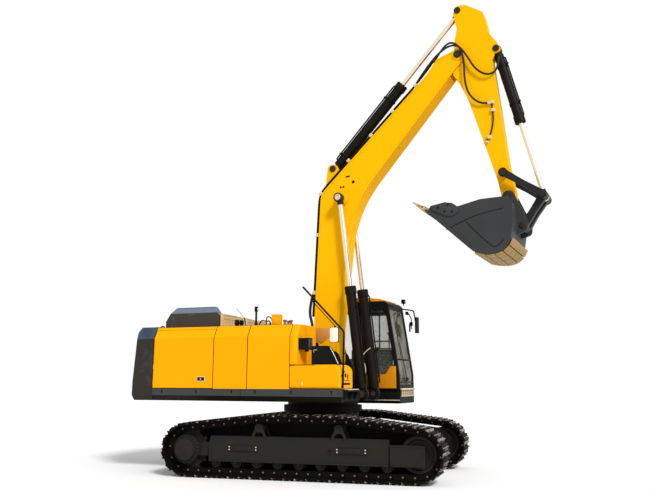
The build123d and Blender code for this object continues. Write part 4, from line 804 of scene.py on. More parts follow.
# body sides
sideDetail = {
    "slots": (-2.836, -2.047, -1.26, -0.756, -0.008, 0.8), "slotZ": (1.53, 1.59),
    "latches": (
        ("rightDoorLatch", "right_door", -1, -1.945), ("leftRearLatch", "left_rear_door", 1, -1.945),
        ("leftFrontLatch", "left_front_door", 1, -0.72),
    ),
    "latchFace": 1.484, "latchZ": 1.805, "latchHalf": (0.091, 0.046),
    "key": ((0, 0.016), (0.006, 0.016), (0.008, 0.011), (0.005, 0.007)),
    # distance from the middle and height round a seam's strip
    "seam": ((1.4915, 1.6), (1.4745, 2.598), (1.347, 2.822), (1.342, 2.812), (1.467, 2.594), (1.484, 1.6)),
    "seamsRight": (-1.679, -0.939, -0.044), "seamsLeft": (-1.679,), "seamWidth": 0.011,
    "treads": (-1.345, 0.065, 9),  # first y, spacing and number of the front step's treads
    # name: body, look and slot, then one row for each part
    "fixed": {
        "skirtFoldLines": (
            "upper", "hoodGrey", "grey_paint",
            (box, "skirtFold", (-3.055, -1.4925, 1.487), (-1.08, -1.488, 1.492), 0.001),
            (box, "skirtFoldFront", (-1.06, -1.4925, 1.487), (0.98, -1.488, 1.492), 0.001),
        ),
        "toolBoxLatch": (
            "upper", "clampCream", "tan_paint",
            (box, "boxLatch", (0.2, -1.4985, 1.688), (0.232, -1.487, 1.748), 0.005),
            (box, "boxLatchTongue", (0.207, -1.503, 1.7), (0.225, -1.495, 1.722), 0.003),
            (box, "boxLid", (0.44, -1.33, 2.06), (0.56, -1.19, 2.083), 0.008),
        ),
        "toolBoxFrontCatches": (
            "upper", "blackPaint", "black_paint",
            (box, "frontLatch", (0.983, -1.3, 1.838), (0.996, -1.245, 1.902), 0.004),
            (box, "frontLatchBar", (0.992, -1.29, 1.85), (1.0, -1.262, 1.872), 0.003),
            (box, "frontSlot", (0.983, -1.375, 1.698), (0.989, -1.03, 1.735), 0.003),
            (box, "frontHinge", (0.983, -1.33, 1.775), (0.99, -1.06, 1.783), 0.002),
            (box, "frontHingeTop", (0.983, -1.18, 1.8), (0.992, -1.14, 1.89), 0.003),
        ),
        # bright steel bars along the step cover's slanted edge paint the highlight line there; the tabs are
        # small plates
        "stepCoverHighlightAndTabs": (
            "upper", "brightSteel", "pin_steel",
            (bar, "coverTrim", (0.73, -1.386, 2.385), (0.812, -1.386, 2.24), 0.0065, 12),
            (bar, "coverTrimLow", (0.812, -1.386, 2.24), (0.888, -1.386, 2.078), 0.0065, 12),
            (box, "coverTab", (0.398, -1.39, 2.33), (0.47, -1.381, 2.342), 0.003),
            (box, "coverTabSide", (0.398, -1.39, 2.29), (0.41, -1.381, 2.342), 0.003),
        ),
    },
}


def buildBodySides():
    d = sideDetail
    fixedParts(d["fixed"])
    z1, z2 = d["slotZ"]
    marks = []
    for x in d["slots"]:
        marks += [
            (box, "skirtSlot", (x - 0.013, -1.4935, z1), (x + 0.013, -1.487, z2), 0.004),
            (box, "skirtNotch", (x - 0.022, -1.4925, z2 - 0.012), (x + 0.006, -1.487, z2 + 0.004), 0.002),
        ]
    for x in d["slots"][:4]:
        marks.append((box, "skirtSlotLeft", (x - 0.013, 1.487, z1), (x + 0.013, 1.4935, z2), 0.004))
    fitted("skirtSlots", "upper", "blackPaint", "black_paint", *marks)
    w, h = d["latchHalf"]
    z = d["latchZ"]
    for name, body, sign, x in d["latches"]:
        face = sign * d["latchFace"]
        for part, look, slotName, inset, depth, bevel in (
            ("Rim", "clampCream", "yellow_paint", 0, 0.01, 0.006),
            ("Pan", "blackPaint", "black_paint", 0.012, 0.014, 0.01),
        ):
            low, high = sorted((face, face + sign * depth))
            fitted(name + part, body, look, slotName, (
                box, part, (x - w + inset, low, z - h + inset), (x + w - inset, high, z + h - inset), bevel,
            ))
        fitted(name + "Key", body, "brightSteel", "pin_steel", (
            turned, "key", (x, face + sign * 0.013, z), (0, sign, 0), d["key"], 20,
        ))
    width = d["seamWidth"]
    seams = [
        (slab, "seam", [(x - 0.006, sign * y, z) for y, z in d["seam"]], (width, 0, 0), 0)
        for sign, spots in ((-1, d["seamsRight"]), (1, d["seamsLeft"])) for x in spots
    ]
    fitted(
        "panelSeams", "upper", "seamBrown", "black_paint", *seams,
        (box, "boxSeam", (-0.044, -1.4915, 2.061), (0.47, -1.48, 2.069), 0),
        (box, "tailSeam", (-3.069, -1.4915, 1.5), (-3.061, -1.48, 2.59), 0),
    )
    treads = [d["treads"][0] + index * d["treads"][1] for index in range(d["treads"][2])]
    fitted(
        "frontStepTreads", "upper", "stepWhite", "tan_paint",
        *[(box, "stepTread", (0.992, y, 1.612), (1.072, y + 0.018, 1.62), 0.002) for y in treads],
        (box, "stepEdge", (0.986, -1.368, 1.609), (1.082, -0.812, 1.6145), 0.002),
    )
    print("body sides dressed")


# right front: lamp, mirror and rail
frontDetail = {
    "lampX": (0.095, 0.29), "lampY": (-1.4, -1.2), "lampZ": (2.345, 2.56), "ribs": (0.045, 0.1, 0.155),
    # (x, z) of the mirror's corner arcs and the angle each starts from
    "mirror": ((0.894, 2.703, 0), (0.794, 2.703, 90), (0.794, 2.5, 180), (0.894, 2.5, 270)),
    "mirrorCorner": 0.03, "railCollars": ((1.012, 1.7), (1.018, 1.92), (1.024, 2.25)),
    # name: body, look and slot, then one row for each part
    "fixed": {
        "rightMirrorGlass": (
            "upper", "mirrorGlass", "lamp_plastic",
            (box, "glass", (0.772, -1.434, 2.48), (0.916, -1.426, 2.724), 0.018, 3),
        ),
    },
}


def buildRightFront():
    fixedParts(frontDetail["fixed"])
    (x1, x2), (y1, y2), (z1, z2) = (frontDetail[key] for key in ("lampX", "lampY", "lampZ"))
    stalkX, stalkZ = x1 + 0.03, z1 + 0.05
    ribs = [
        (box, "lampRib", (x1 + 0.05, y1 - 0.007, z1 + up), (x2 - 0.02, y1 + 0.002, z1 + up + 0.018), 0.004)
        for up in frontDetail["ribs"]
    ]
    collars = [
        (bar, "railCollar", (x, -1.45, z), (x + 0.0015, -1.45, z + 0.035), 0.024, 20, 0.003)
        for x, z in frontDetail["railCollars"]
    ]
    fitted(
        "rightLampHousing", "upper", "blackPaint", "lamp_plastic",
        (box, "lampRim", (x2 - 0.012, y1 - 0.006, z1 - 0.006), (x2 + 0.01, y2 + 0.006, z2 + 0.006), 0.012),
        *ribs,
        (bar, "lampStalk", (stalkX, y2 + 0.012, stalkZ), (stalkX, y2 + 0.1, stalkZ), 0.022, 20, 0.004),
        (box, "lampFoot", (x1 + 0.002, y2 + 0.09, z1 - 0.03), (x1 + 0.075, y2 + 0.12, z1 + 0.13), 0.008),
    )
    fitted("rightLampLens", "upper", "darkLens", "lamp_plastic", (
        box, "lens", (x2 + 0.004, y1 + 0.012, z1 + 0.014), (x2 + 0.014, y2 - 0.012, z2 - 0.014), 0.01,
    ))
    radius = frontDetail["mirrorCorner"]
    rim = []
    for x, z, first in frontDetail["mirror"]:
        for step in range(4):
            angle = math.radians(first + step * 30)
            rim.append((x + radius * math.cos(angle), z + radius * math.sin(angle)))
    fitted("rightMirrorBack", "upper", "mirrorWhite", "lamp_plastic", (
        sideSlab, "back", rim, -1.478, -1.468, 0.002,
    ))
    fitted(
        "railCollars", "upper", "blackPaint", "black_paint",
        *collars,
        (bar, "stayCollar", (0.845, -1.45, 2.755), (0.872, -1.45, 2.728), 0.016, 16, 0.002),
        (box, "mirrorArm", (0.836, -1.462, 2.728), (0.874, -1.438, 2.765), 0.006),
    )
    print("right front dressed")


# roof and hood
roofDetail = {
    "top": 2.82, "y": -1.09, "studs": ((-0.34, 0.115), (-0.265, 0.095), (-0.205, 0.105)),
    "caps": ((0.044, -1.39, 0.064), (0.04, -1.29, 0.056)),
    "mastHead": ((-0.006, 0.026), (0, 0.034), (0.086, 0.034), (0.094, 0.024)),
    "mastFoot": ((0, 0.05), (0.012, 0.05), (0.018, 0.03), (0.07, 0.026)),
    "grip": (
        (-0.745, 2.82), (-0.742, 2.985), (-0.7, 3.008), (-0.64, 2.985), (-0.612, 2.93), (-0.61, 2.82),
    ),
    # two (x, y) corners of each anti-slip pad
    "pads": (
        ((-1.62, -1.29), (-0.96, -0.43)), ((-0.9, -1.29), (0.03, -1.225)), ((-1.62, 0.43), (-0.42, 1.29)),
    ),
    # name: body, look and slot, then one row for each part
    "fixed": {
        "fillerBoxCover": (
            "upper", "bodyYellow", "yellow_paint",
            (box, "fillerShell", (-0.569, -1.204, 2.82), (-0.406, -1.056, 3.0), 0.01),
            (box, "fillerLid", (-0.575, -1.208, 2.994), (-0.4, -1.052, 3.038), 0.014, 3),
            (box, "fillerHasp", (-0.406, -1.15, 2.955), (-0.392, -1.11, 3.02), 0.004),
        ),
        "mastLens": (
            "upper", "lampLens", "lamp_plastic",
            (turned, "lens", (-0.934, -1.09, 3.156), (1, 0, 0), (
                (0, 0.022), (0.006, 0.022), (0.01, 0.014),
            ), 20),
        ),
        "roofReflector": (
            "upper", "clampCream", "tan_paint",
            (sideSlab, "reflector", ((-1.2, 2.83), (-1.15, 2.83), (-1.178, 3.0)), -1.096, -1.084, 0.002),
        ),
        "roofHoses": (
            "upper", "hoseRed", "lamp_plastic",
            (tube, "roofHose", (
                (-0.9, -1.09, 2.832), (-0.87, -1.09, 2.925), (-0.8, -1.09, 2.93), (-0.74, -1.09, 2.912),
                (-0.655, -1.09, 2.925), (-0.64, -1.09, 2.832),
            ), 0.014),
        ),
    },
}


def buildRoof():
    d = roofDetail
    fixedParts(d["fixed"])
    top, y = d["top"], d["y"]
    studs = []
    for x, high in d["studs"]:
        rows = (
            (0, 0.032), (0.03, 0.032), (0.04, 0.022), (high - 0.04, 0.022), (high - 0.034, 0.036),
            (high - 0.006, 0.036), (high, 0.024),
        )
        studs.append((turned, "tankStud", (x, y, top), (0, 0, 1), rows, 20))
    fitted("tankStuds", "upper", "capBrown", "pin_steel", *studs)
    caps = []
    for wide, x, z in d["caps"]:
        rows = ((0, wide + 0.008), (0.022, wide + 0.01), (0.034, wide + 0.002), (0.04, wide - 0.02))
        caps.append((turned, "ventCap", (x, y, top + z), (0, 0, 1), rows, 24))
    fitted(
        "roofFittingsDetail", "upper", "blackPaint", "black_paint", *caps,
        (turned, "mastHead", (-0.965, y, top + 0.29), (0, 0, 1), d["mastHead"], 24),
        (turned, "mastFoot", (-0.965, y, top), (0, 0, 1), d["mastFoot"], 24),
        (bar, "aerialFoot", (-1.19, y, top), (-1.222, y, 2.985), 0.01, 12),
        (bar, "aerial", (-1.222, y, 2.985), (-1.406, y, 3.184), 0.0045, 8),
        (box, "aerialBase", (-1.225, y - 0.03, top), (-1.155, y + 0.03, top + 0.022), 0.006),
        (tube, "roofGrip", atY(y, d["grip"]), 0.011),
    )
    fitted("gripPads", "upper", "gripBlack", "black_paint", *[
        (box, "gripPad", (*low, top + 0.001), (*high, top + 0.008), 0.003) for low, high in d["pads"]
    ])
    print("roof dressed")


hoodDetail = {
    "ribs": (-0.62, -0.32, -0.02, 0.28, 0.58, 0.88), "stays": (-0.62, -0.1, 0.42),
    "grille": (
        (box, "grilleTop", (-1.704, -1.135, 3.062), (-1.692, -0.56, 3.08), 0.003),
        (box, "grilleFoot", (-1.704, -1.135, 2.826), (-1.692, 0.895, 2.85), 0.003),
        (box, "grilleEnd", (-1.704, -1.137, 2.826), (-1.69, -1.095, 3.09), 0.003),
        (box, "grilleEndLeft", (-1.704, 0.86, 2.826), (-1.69, 0.898, 3.03), 0.003),
    ),
    # name: body, look and slot, then one row for each part
    "fixed": {
        "hoodGrip": (
            "engine_hood", "blackPaint", "black_paint",
            (tube, "grip", (
                (-2.6, 1.151, 2.9), (-2.6, 1.156, 2.905), (-2.6, 1.19, 2.915), (-2.45, 1.195, 2.915),
                (-2.3, 1.19, 2.915), (-2.3, 1.156, 2.905), (-2.3, 1.151, 2.9),
            ), 0.01),
        ),
        "hoodCatches": (
            "engine_hood", "hoodGrey", "grey_paint",
            (box, "hoodCatch", (-1.842, -1.16, 2.868), (-1.812, -1.149, 2.93), 0.004),
            (box, "hoodCatchTail", (-1.846, -1.163, 2.88), (-1.808, -1.152, 2.896), 0.003),
            (box, "hoodCatchRear", (-2.96, -1.16, 2.868), (-2.93, -1.149, 2.93), 0.004),
        ),
    },
}


def buildHood():
    d = hoodDetail
    fixedParts(d["fixed"])
    fitted(
        "hoodRibs", "engine_hood", "hoodGrey", "grey_paint",
        *[(box, "hoodRib", (-2.78, y, 3.015), (-1.96, y + 0.09, 3.057), 0.018, 3) for y in d["ribs"]],
        (box, "ridgeTrim", (-2.8, -1.062, 3.228), (-1.915, -1.018, 3.244), 0.01),
    )
    fitted(
        "grilleRim", "upper", "grilleBeige", "tan_paint",
        *d["grille"],
        *[
            (box, "grilleStay", (-1.704, y - 0.016, 2.83), (-1.69, y + 0.016, 3.03), 0.003)
            for y in d["stays"]
        ],
    )
    print("hood dressed")


buildBodySides()
buildRightFront()
buildRoof()
buildHood()

# boom, arm and ram dressing
boomDetail = {
    "edge": (
        (-0.1, 3.05), (-0.076, 3.5), (-0.029, 4.4), (0.01, 5.15), (0.026, 5.44), (0.062, 5.57),
        (0.13, 5.67), (0.6, 6.13), (1.2, 6.716), (1.8, 7.302), (2.3, 7.79), (2.52, 8.08),
    ),
    "pipeOut": 0.042, "pipeRadius": 0.018, "pipeRows": (-0.188, -0.15, 0.15, 0.188),
    # the inner pair stops short of the arm's sweep
    "innerPast": 0.16, "innerEnd": (2.0, 7.558),
    "clamps": (0.08, 0.276, 0.42, 0.567, 0.68, 0.787, 0.9), "clampReach": (0.126, 0.209), "nutY": 0.169,
    "marks": ((0.748, 5.773, 0.024), (0.47, 5.686, 0.012), (0.534, 5.686, 0.012)),
    "slot": ((0.586, 5.88), (0.672, 5.884), (0.684, 5.9), (0.672, 5.914), (0.586, 5.908), (0.574, 5.894)),
    "pins": ((2.97, 8.16), (0.25, 2.2)), "bucketPins": ((3.862, 5.199), (4.122, 4.607)),
    "keeper": ((0, 0.07), (0.01, 0.07), (0.016, 0.058), (0.016, 0.03), (0.01, 0.022)),
    "bucketKeeper": ((0, 0.058), (0.008, 0.058), (0.012, 0.046), (0.012, 0.02)),
    # name: body, look and slot, then one row for each part
    "fixed": {
        # a tan patch on the boom foot's side: painted reflected light on the lower foot
        "boomFootReflectedLightPatch": (
            "boom", "bootTan", "yellow_paint",
            (sideSlab, "plate", (
                (-0.121, 2.821), (0.216, 2.813), (0.238, 2.653), (0.064, 2.516), (-0.108, 2.519),
            ), -0.2135, -0.195, 0.003),
        ),
        "boomRearLugs": (
            "boom", "yellowPaint", "yellow_paint",
            (bar, "liftLug", (-0.138, 0, 4.66), (-0.075, 0, 4.66), 0.03, 20, 0.004),
            (box, "boomStay", (-0.14, -0.11, 3.6), (-0.07, 0.11, 3.66), 0.01),
        ),
    },
}


def offsetLine(points, amount):
    # moves a chain of (x, z) points to its left
    moved = []
    for index, point in enumerate(points):
        before, after = points[max(index - 1, 0)], points[min(index + 1, len(points) - 1)]
        run = Vector((after[0] - before[0], after[1] - before[1])).normalized()
        moved.append((point[0] - run.y * amount, point[1] + run.x * amount))
    return moved


def chainSpot(points, share):
    # the place and heading a given share of the way along a chain
    points = [Vector(point) for point in points]
    lengths = [(b - a).length for a, b in zip(points, points[1:])]
    left = share * sum(lengths)
    for a, b, length in zip(points, points[1:], lengths):
        if left <= length:
            run = (b - a).normalized()
            return a + run * left, run
        left -= length


def buildBoom():
    d = boomDetail
    fixedParts(d["fixed"])
    line = offsetLine(d["edge"], d["pipeOut"])
    pipes = []
    for y in d["pipeRows"]:
        reach = line if abs(y) > d["innerPast"] else line[:-2] + [d["innerEnd"]]
        pipes.append((tube, "boomPipe", atY(y, reach), d["pipeRadius"]))
    fitted("boomPipes", "boom", "blackPaint", "black_paint", *pipes)
    clamps, nuts = [], []
    for share in d["clamps"]:
        spot, run = chainSpot(line, share)
        up = Vector((-run.y, run.x))
        along, out = run * 0.038, up * 0.034
        head, under = spot + out, spot - out * 0.8
        top = head + up * 0.01
        corners = [under - along, under + along, head + along, head - along]
        for sign in (-1, 1):
            low, high = sorted(sign * reach for reach in d["clampReach"])
            clamps.append((sideSlab, "pipeClamp", corners, low, high, 0.005))
            y = sign * d["nutY"]
            nuts.append((bar, "clampNut", (head.x, y, head.y), (top.x, y, top.y), 0.009, 6))
    fitted("boomPipeClamps", "boom", "clampCream", "tan_paint", *clamps)
    fitted("boomClampNuts", "boom", "pinSteel", "pin_steel", *nuts)
    marks = []
    for x, z, radius in d["marks"]:
        rows = ((0, radius + 0.006), (0.008, radius + 0.006), (0.012, radius))
        marks.append((turned, "boomMark", (x, -0.1975, z), (0, -1, 0), rows, 20))
    fitted(
        "boomSideMarks", "boom", "blackPaint", "black_paint", *marks,
        (sideSlab, "boomSlot", d["slot"], -0.2015, -0.1965, 0.001),
        (sidePlate, "boomSlotLow", (0.47, 5.68), (0.534, 5.692), -0.2015, -0.1965, 0.001),
    )
    keepers, bucketKeepers = [], []
    for sign in (-1, 1):
        out = (0, sign, 0)
        for x, z in d["pins"]:
            keepers += [
                (turned, "pinKeeper", (x, sign * 0.222, z), out, d["keeper"]),
                (boltRing, "keeperBolts", (x, sign * 0.232, z), out, 0.047, 4, 0.008, 0.012),
            ]
        for x, z in d["bucketPins"]:
            bucketKeepers.append((turned, "bucketKeeper", (x, sign * 0.286, z), out, d["bucketKeeper"], 28))
    fitted("boomPinKeepers", "boom", "eyeBrown", "pin_steel", *keepers)
    fitted("bucketPinKeepers", "bucket", "eyeBrown", "pin_steel", *bucketKeepers)
    print("boom dressed")


ramDetail = {
    # (x, z) of the foot and the eye, then y
    "liftRam": ((0.98, 1.52), (0.51, 5.42), 0.345),
    "armRam": ((0.27, 6.11), (2.98, 9.1), 0),
    "bucketRam": ((3.72, 8.19), (4.505, 5.169), 0),
    "eyeRing": ((0, 0.062), (0.008, 0.062), (0.014, 0.054), (0.014, 0.04), (0.004, 0.036)),
    "eyeShell": ((-0.062, 0.086), (-0.058, 0.095), (0.058, 0.095), (0.062, 0.086)),
    "eyeCap": ((0.05, 0.07), (0.118, 0.07), (0.128, 0.064), (0.128, 0.02)),
    "bucketEye": ((-0.072, 0.088), (-0.068, 0.0945), (0.068, 0.0945), (0.072, 0.088)),
    # radii of each rod's collar: at the eye, past its step and at its end
    "collars": {
        "liftRam": (0.066, 0.0635, 0.056), "armRam": (0.068, 0.0655, 0.056),
        "bucketRam": (0.062, 0.0585, 0.05),
    },
    "collarOut": 0.075, "bandAt": (0.34, -0.42),
    # name, ram, side, barrel radius, length to the gland, body, way the oil pipe faces
    "barrels": (
        ("liftRamRight", "liftRam", -1, 0.102, 2.1, "boom_ram_barrels", (0.993, -0.5, 0.12)),
        ("liftRamLeft", "liftRam", 1, 0.102, 2.1, "boom_ram_barrels", (0.993, 0.5, 0.12)),
        ("armRam", "armRam", 1, 0.108, 2.23, "arm_ram_barrel", (-0.55, -0.66, 0.5)),
        ("bucketRam", "bucketRam", 1, 0.092, 1.58, "bucket_ram_barrel", (0.9, -0.3, 0.23)),
    ),
    "baseHose": (
        (0.985, -0.345, 1.66), (1.03, -0.35, 1.64), (1.085, -0.35, 1.56), (1.09, -0.35, 1.478),
        (1.022, -0.34, 1.406), (0.9, -0.3, 1.39), (0.7, -0.28, 1.48),
    ),
    "baseHoseLeft": (
        (0.975, 0.345, 1.66), (1.02, 0.345, 1.63), (1.085, 0.34, 1.54), (1.06, 0.33, 1.43),
        (0.9, 0.3, 1.39), (0.7, 0.28, 1.48),
    ),
    "baseBend": ((0.9, -0.33, 1.42), (0.99, -0.345, 1.62)),  # two points on the hoses, handed to bending()
    "feed": (
        (1.1, 2.405), (1.01, 2.345), (0.93, 2.25), (0.93, 2.19), (0.99, 2.07), (1.0, 1.93), (0.96, 1.7),
    ),
}


def rodCollar(ram, sign):
    # the collar behind a rod's eye, pointing down the rod
    foot, eye, y = ramDetail[ram]
    outer, inner, end = ramDetail["collars"][ram]
    start = Vector((eye[0], sign * y, eye[1]))
    run = (Vector((foot[0], sign * y, foot[1])) - start).normalized()
    rows = ((0, outer), (0.03, outer), (0.04, inner), (0.07, inner), (0.074, end))
    return turned, "rodCollar", start + run * ramDetail["collarOut"], run, rows, 28


def buildRodEyes():
    d = ramDetail
    (x, z), y = d["liftRam"][1:]
    rings, shells = [], []
    for sign in (-1, 1):
        out = (0, sign, 0)
        rings.append((turned, "eyeRing", (x, sign * 0.47, z), out, d["eyeRing"], 28))
        shells += [
            (turned, "eyeShell", (x, sign * y, z), out, d["eyeShell"], 36),
            (turned, "eyeCap", (x, sign * y, z), out, d["eyeCap"]),
            rodCollar("liftRam", sign),
        ]
    fitted("liftEyeRings", "boom_ram_rods", "clampCream", "pin_steel", *rings)
    fitted("liftEyeShells", "boom_ram_rods", "eyeBrown", "pin_steel", *shells)
    fitted(
        "bucketRamEyeShell", "bucket_ram_rod", "eyeBrown", "pin_steel",
        (turned, "bucketRamEye", (4.505, 0, 5.169), (0, 1, 0), d["bucketEye"]),
        rodCollar("bucketRam", 1),
    )
    fitted("armRamCollar", "arm_ram_rod", "eyeBrown", "pin_steel", rodCollar("armRam", 1))


def dressRam(name, ram, sign, radius, head, body, sideways):
    # gland bolts, saddles and the oil pipe of one ram, and two bands on a single one
    foot, eye, y = ramDetail[ram]
    start = Vector((foot[0], sign * y, foot[1]))
    run = (Vector((eye[0], sign * y, eye[1])) - start).normalized()
    side = Vector(sideways).normalized()
    fitted(name + "GlandBolts", body, "linkSteel", "black_paint", (
        boltRing, "glandBolts", start + run * head, run, radius - 0.012, 10, 0.011, 0.014,
    ))
    band = [(along, radius + out) for along, out in (
        (-0.022, -0.004), (-0.022, 0.006), (-0.019, 0.009), (0.019, 0.009), (0.022, 0.006),
        (0.022, -0.004), (-0.022, -0.004),
    )]
    first, last = ramDetail["bandAt"][0], head + ramDetail["bandAt"][1]
    parts = []
    if y == 0:
        parts += [(turned, "band", start + run * along, run, band, 32, True) for along in (first, last)]
    for along in (first, last):
        low, high = (start + run * along + side * (radius + out) for out in (-0.01, 0.05))
        parts.append((bar, "saddle", low, high, 0.018, 8, 0.003))
    fitted(name + "Bands", body, "blackPaint", "black_paint", *parts)
    pipe = [
        tuple(start + run * along + side * (radius + out)) for along, out in (
            (0.2, -0.02), (0.2, 0.024), (0.26, 0.024), (head - 0.22, 0.024), (head - 0.12, 0.024),
            (head - 0.09, -0.01),
        )
    ]
    fitted(name + "Pipe", body, "barrelPaint", "black_paint", (tube, "pipe", pipe, 0.015))


def buildRams():
    for row in ramDetail["barrels"]:
        dressRam(*row)
    hoses = [tube("ramHose", ramDetail[key], 0.017) for key in ("baseHose", "baseHoseLeft")]
    bending(
        joined("ramBaseHoses", hoses), ("upper", "boom_ram_barrels"), looks["rubber"], "black_paint",
        *ramDetail["baseBend"],
    )
    fitted("paleFeedHose", "upper", "clampCream", "tan_paint", (
        tube, "feed", atY(-0.2275, ramDetail["feed"]), 0.01,
    ))
    print("rams dressed")


hoseDetail = {
    "foot": (
        (-0.122, 3.56), (-0.165, 3.47), (-0.205, 3.3), (-0.225, 3.1), (-0.17, 2.92), (-0.16, 2.78),
        (-0.23, 2.55), (-0.26, 2.3), (-0.24, 1.9),
    ),
    # x, distance to the side and z of the short arm hoses, one on each side
    "short": (
        (2.48, 0.188, 8.06), (2.6, 0.2, 8.24), (2.76, 0.225, 8.4), (2.9, 0.24, 8.41), (3.05, 0.245, 8.26),
        (3.11, 0.245, 7.975), (3.105, 0.245, 7.6), (3.171, 0.24, 7.3), (3.34, 0.225, 7.11),
        (3.51, 0.205, 7.065), (3.611, 0.19, 7.087),
    ),
    "long": (
        (1.98, 0.15, 7.54), (2.08, 0.155, 7.66), (2.26, 0.195, 7.88), (2.48, 0.228, 8.12),
        (2.62, 0.23, 8.24), (2.8, 0.235, 8.35), (3.0, 0.25, 8.33), (3.16, 0.25, 8.1), (3.31, 0.245, 7.8),
        (3.517, 0.235, 7.637), (3.69, 0.215, 7.66), (3.765, 0.19, 7.82), (3.78, 0.165, 8.003),
    ),
    "armPipe": (
        (3.62, 0.186, 7.07), (3.606, 0.186, 6.93), (3.64, 0.184, 6.83), (3.612, 0.184, 6.58),
        (3.55, 0.182, 6.39), (3.492, 0.182, 6.315),
    ),
    # x, z and half size
    "blocks": (
        (3.62, 7.086, 0.04), (3.56, 7.066, 0.026), (3.632, 6.925, 0.04), (3.545, 6.392, 0.042),
        (3.5, 6.3, 0.028),
    ),
    "blockY": (0.16, 0.216), "ferrule": ((3.575, 0.192, 7.085), (3.53, 0.2, 7.072)),
    # two points for the hoses over each joint, handed to bending()
    "footBend": ((-0.24, 0, 2.25), (-0.16, 0, 3.3)), "armBend": ((2.62, 0, 8.25), (3.15, 0, 7.6)),
}


def onSide(sign, points):
    return [(x, sign * y, z) for x, y, z in points]


def buildHoses():
    d = hoseDetail
    foot = [tube("footHose", atY(y, d["foot"]), 0.021) for y in boomDetail["pipeRows"]]
    bending(
        joined("boomFootHoses", foot), ("upper", "boom"), looks["rubber"], "black_paint",
        *d["footBend"],
    )
    runs = (onSide(-1, d["short"]), onSide(-1, d["long"]), onSide(1, d["short"]))
    lines = [tube("armHose", points, 0.02) for points in runs]
    bending(
        joined("boomToArmHoses", lines), ("boom", "arm"), looks["rubber"], "black_paint",
        *d["armBend"],
    )
    fittings, pipes = [], []
    for sign in (-1, 1):
        low, high = sorted(sign * y for y in d["blockY"])
        for x, z, size in d["blocks"]:
            corners = (x - size, low, z - size * 0.8), (x + size, high, z + size * 0.8)
            fittings.append((box, "hoseBlock", *corners, 0.009))
        fittings.append((bar, "hoseFerrule", *onSide(sign, d["ferrule"]), 0.026, 8, 0.003))
        pipes.append((tube, "armPipe", onSide(sign, d["armPipe"]), 0.014))
    fitted("armPipes", "arm", "rubber", "black_paint", *pipes)
    fitted("armHoseFittings", "arm", "clampCream", "pin_steel", *fittings)
    print("hoses made")


# bucket
bucketDetail = {
    "side": 0.776,
    "back": ((3.312, 4.056), (3.512, 4.012), (3.69, 4.006), (3.851, 4.046), (3.972, 4.152), (4.046, 4.3)),
    "weld": ((2.803, 4.534), (3.132, 4.677), (3.41, 4.784), (3.862, 4.857)),
    "weldRear": ((3.186, 4.654), (3.65, 4.128), (3.767, 4.193), (3.831, 4.252), (3.859, 4.28)),
    "cutter": (
        (2.535, 5.0), (2.659, 5.03), (2.792, 5.048), (2.922, 5.032), (2.996, 4.983), (3.049, 4.903),
        (3.029, 4.831), (2.953, 4.79), (2.86, 4.779), (2.785, 4.803), (2.655, 4.861), (2.53, 4.93),
    ),
    "lip": ((2.445, 4.905), (2.53, 4.83), (3.23, 4.18), (3.262, 4.205), (2.56, 4.87), (2.48, 4.945)),
    "bolts": ((2.856, 5.0), (2.66, 4.96), (2.93, 4.87), (2.79, 4.88)),
    "plates": ((-0.77, -0.42), (-0.4, 0), (0.02, 0.4), (0.42, 0.77)),
    "tooth": (2.345, 5.012), "teeth": (-0.685, -0.3425, 0, 0.3425, 0.685),
}


def buildBucket():
    d = bucketDetail
    welds, lobes, bolts = [], [], []
    for sign in (-1, 1):
        y = sign * d["side"]
        welds += [(tube, "weld", atY(y, d[key]), 0.008) for key in ("weld", "weldRear")]
        low, high = sorted((y, y + sign * 0.022))
        lobes += [
            (sideSlab, "sideCutter", d["cutter"], low, high, 0.006),
            (sideSlab, "sideLip", d["lip"], low, low + 0.012 if sign > 0 else high, 0.004),
        ]
        for x, z in d["bolts"]:
            bolts.append((bar, "bolt", (x, y + sign * 0.02, z), (x, y + sign * 0.034, z), 0.017, 6, 0.002))
    fitted("bucketWelds", "bucket", "bucketDark", "bucket_steel", *welds)
    fitted("sideCutters", "bucket", "bucketPaint", "bucket_steel", *lobes)
    fitted("cutterBolts", "bucket", "linkSteel", "bucket_steel", *bolts)
    straps = []
    for a, b in zip(d["back"], d["back"][1:]):
        a, b = Vector(a), Vector(b)
        run = (b - a).normalized()
        inward = Vector((-run.y, run.x)) * 0.03
        a, b = a + run * 0.01, b - run * 0.01
        for low, high in d["plates"]:
            straps.append((sideSlab, "wearPlate", (a, b, b + inward, a + inward), low, high, 0.005))
    fitted("bucketWearPlates", "bucket", "wornStrap", "bucket_steel", *straps)
    x, z = d["tooth"]
    fitted("toothPins", "bucket", "linkSteel", "pin_steel", *[
        (bar, "toothPin", (x, y + sign * 0.05, z), (x, y + sign * 0.058, z), 0.014, 10)
        for y in d["teeth"] for sign in (-1, 1)
    ])
    print("bucket dressed")


buildBoom()
buildRodEyes()
buildRams()
buildHoses()
buildBucket()

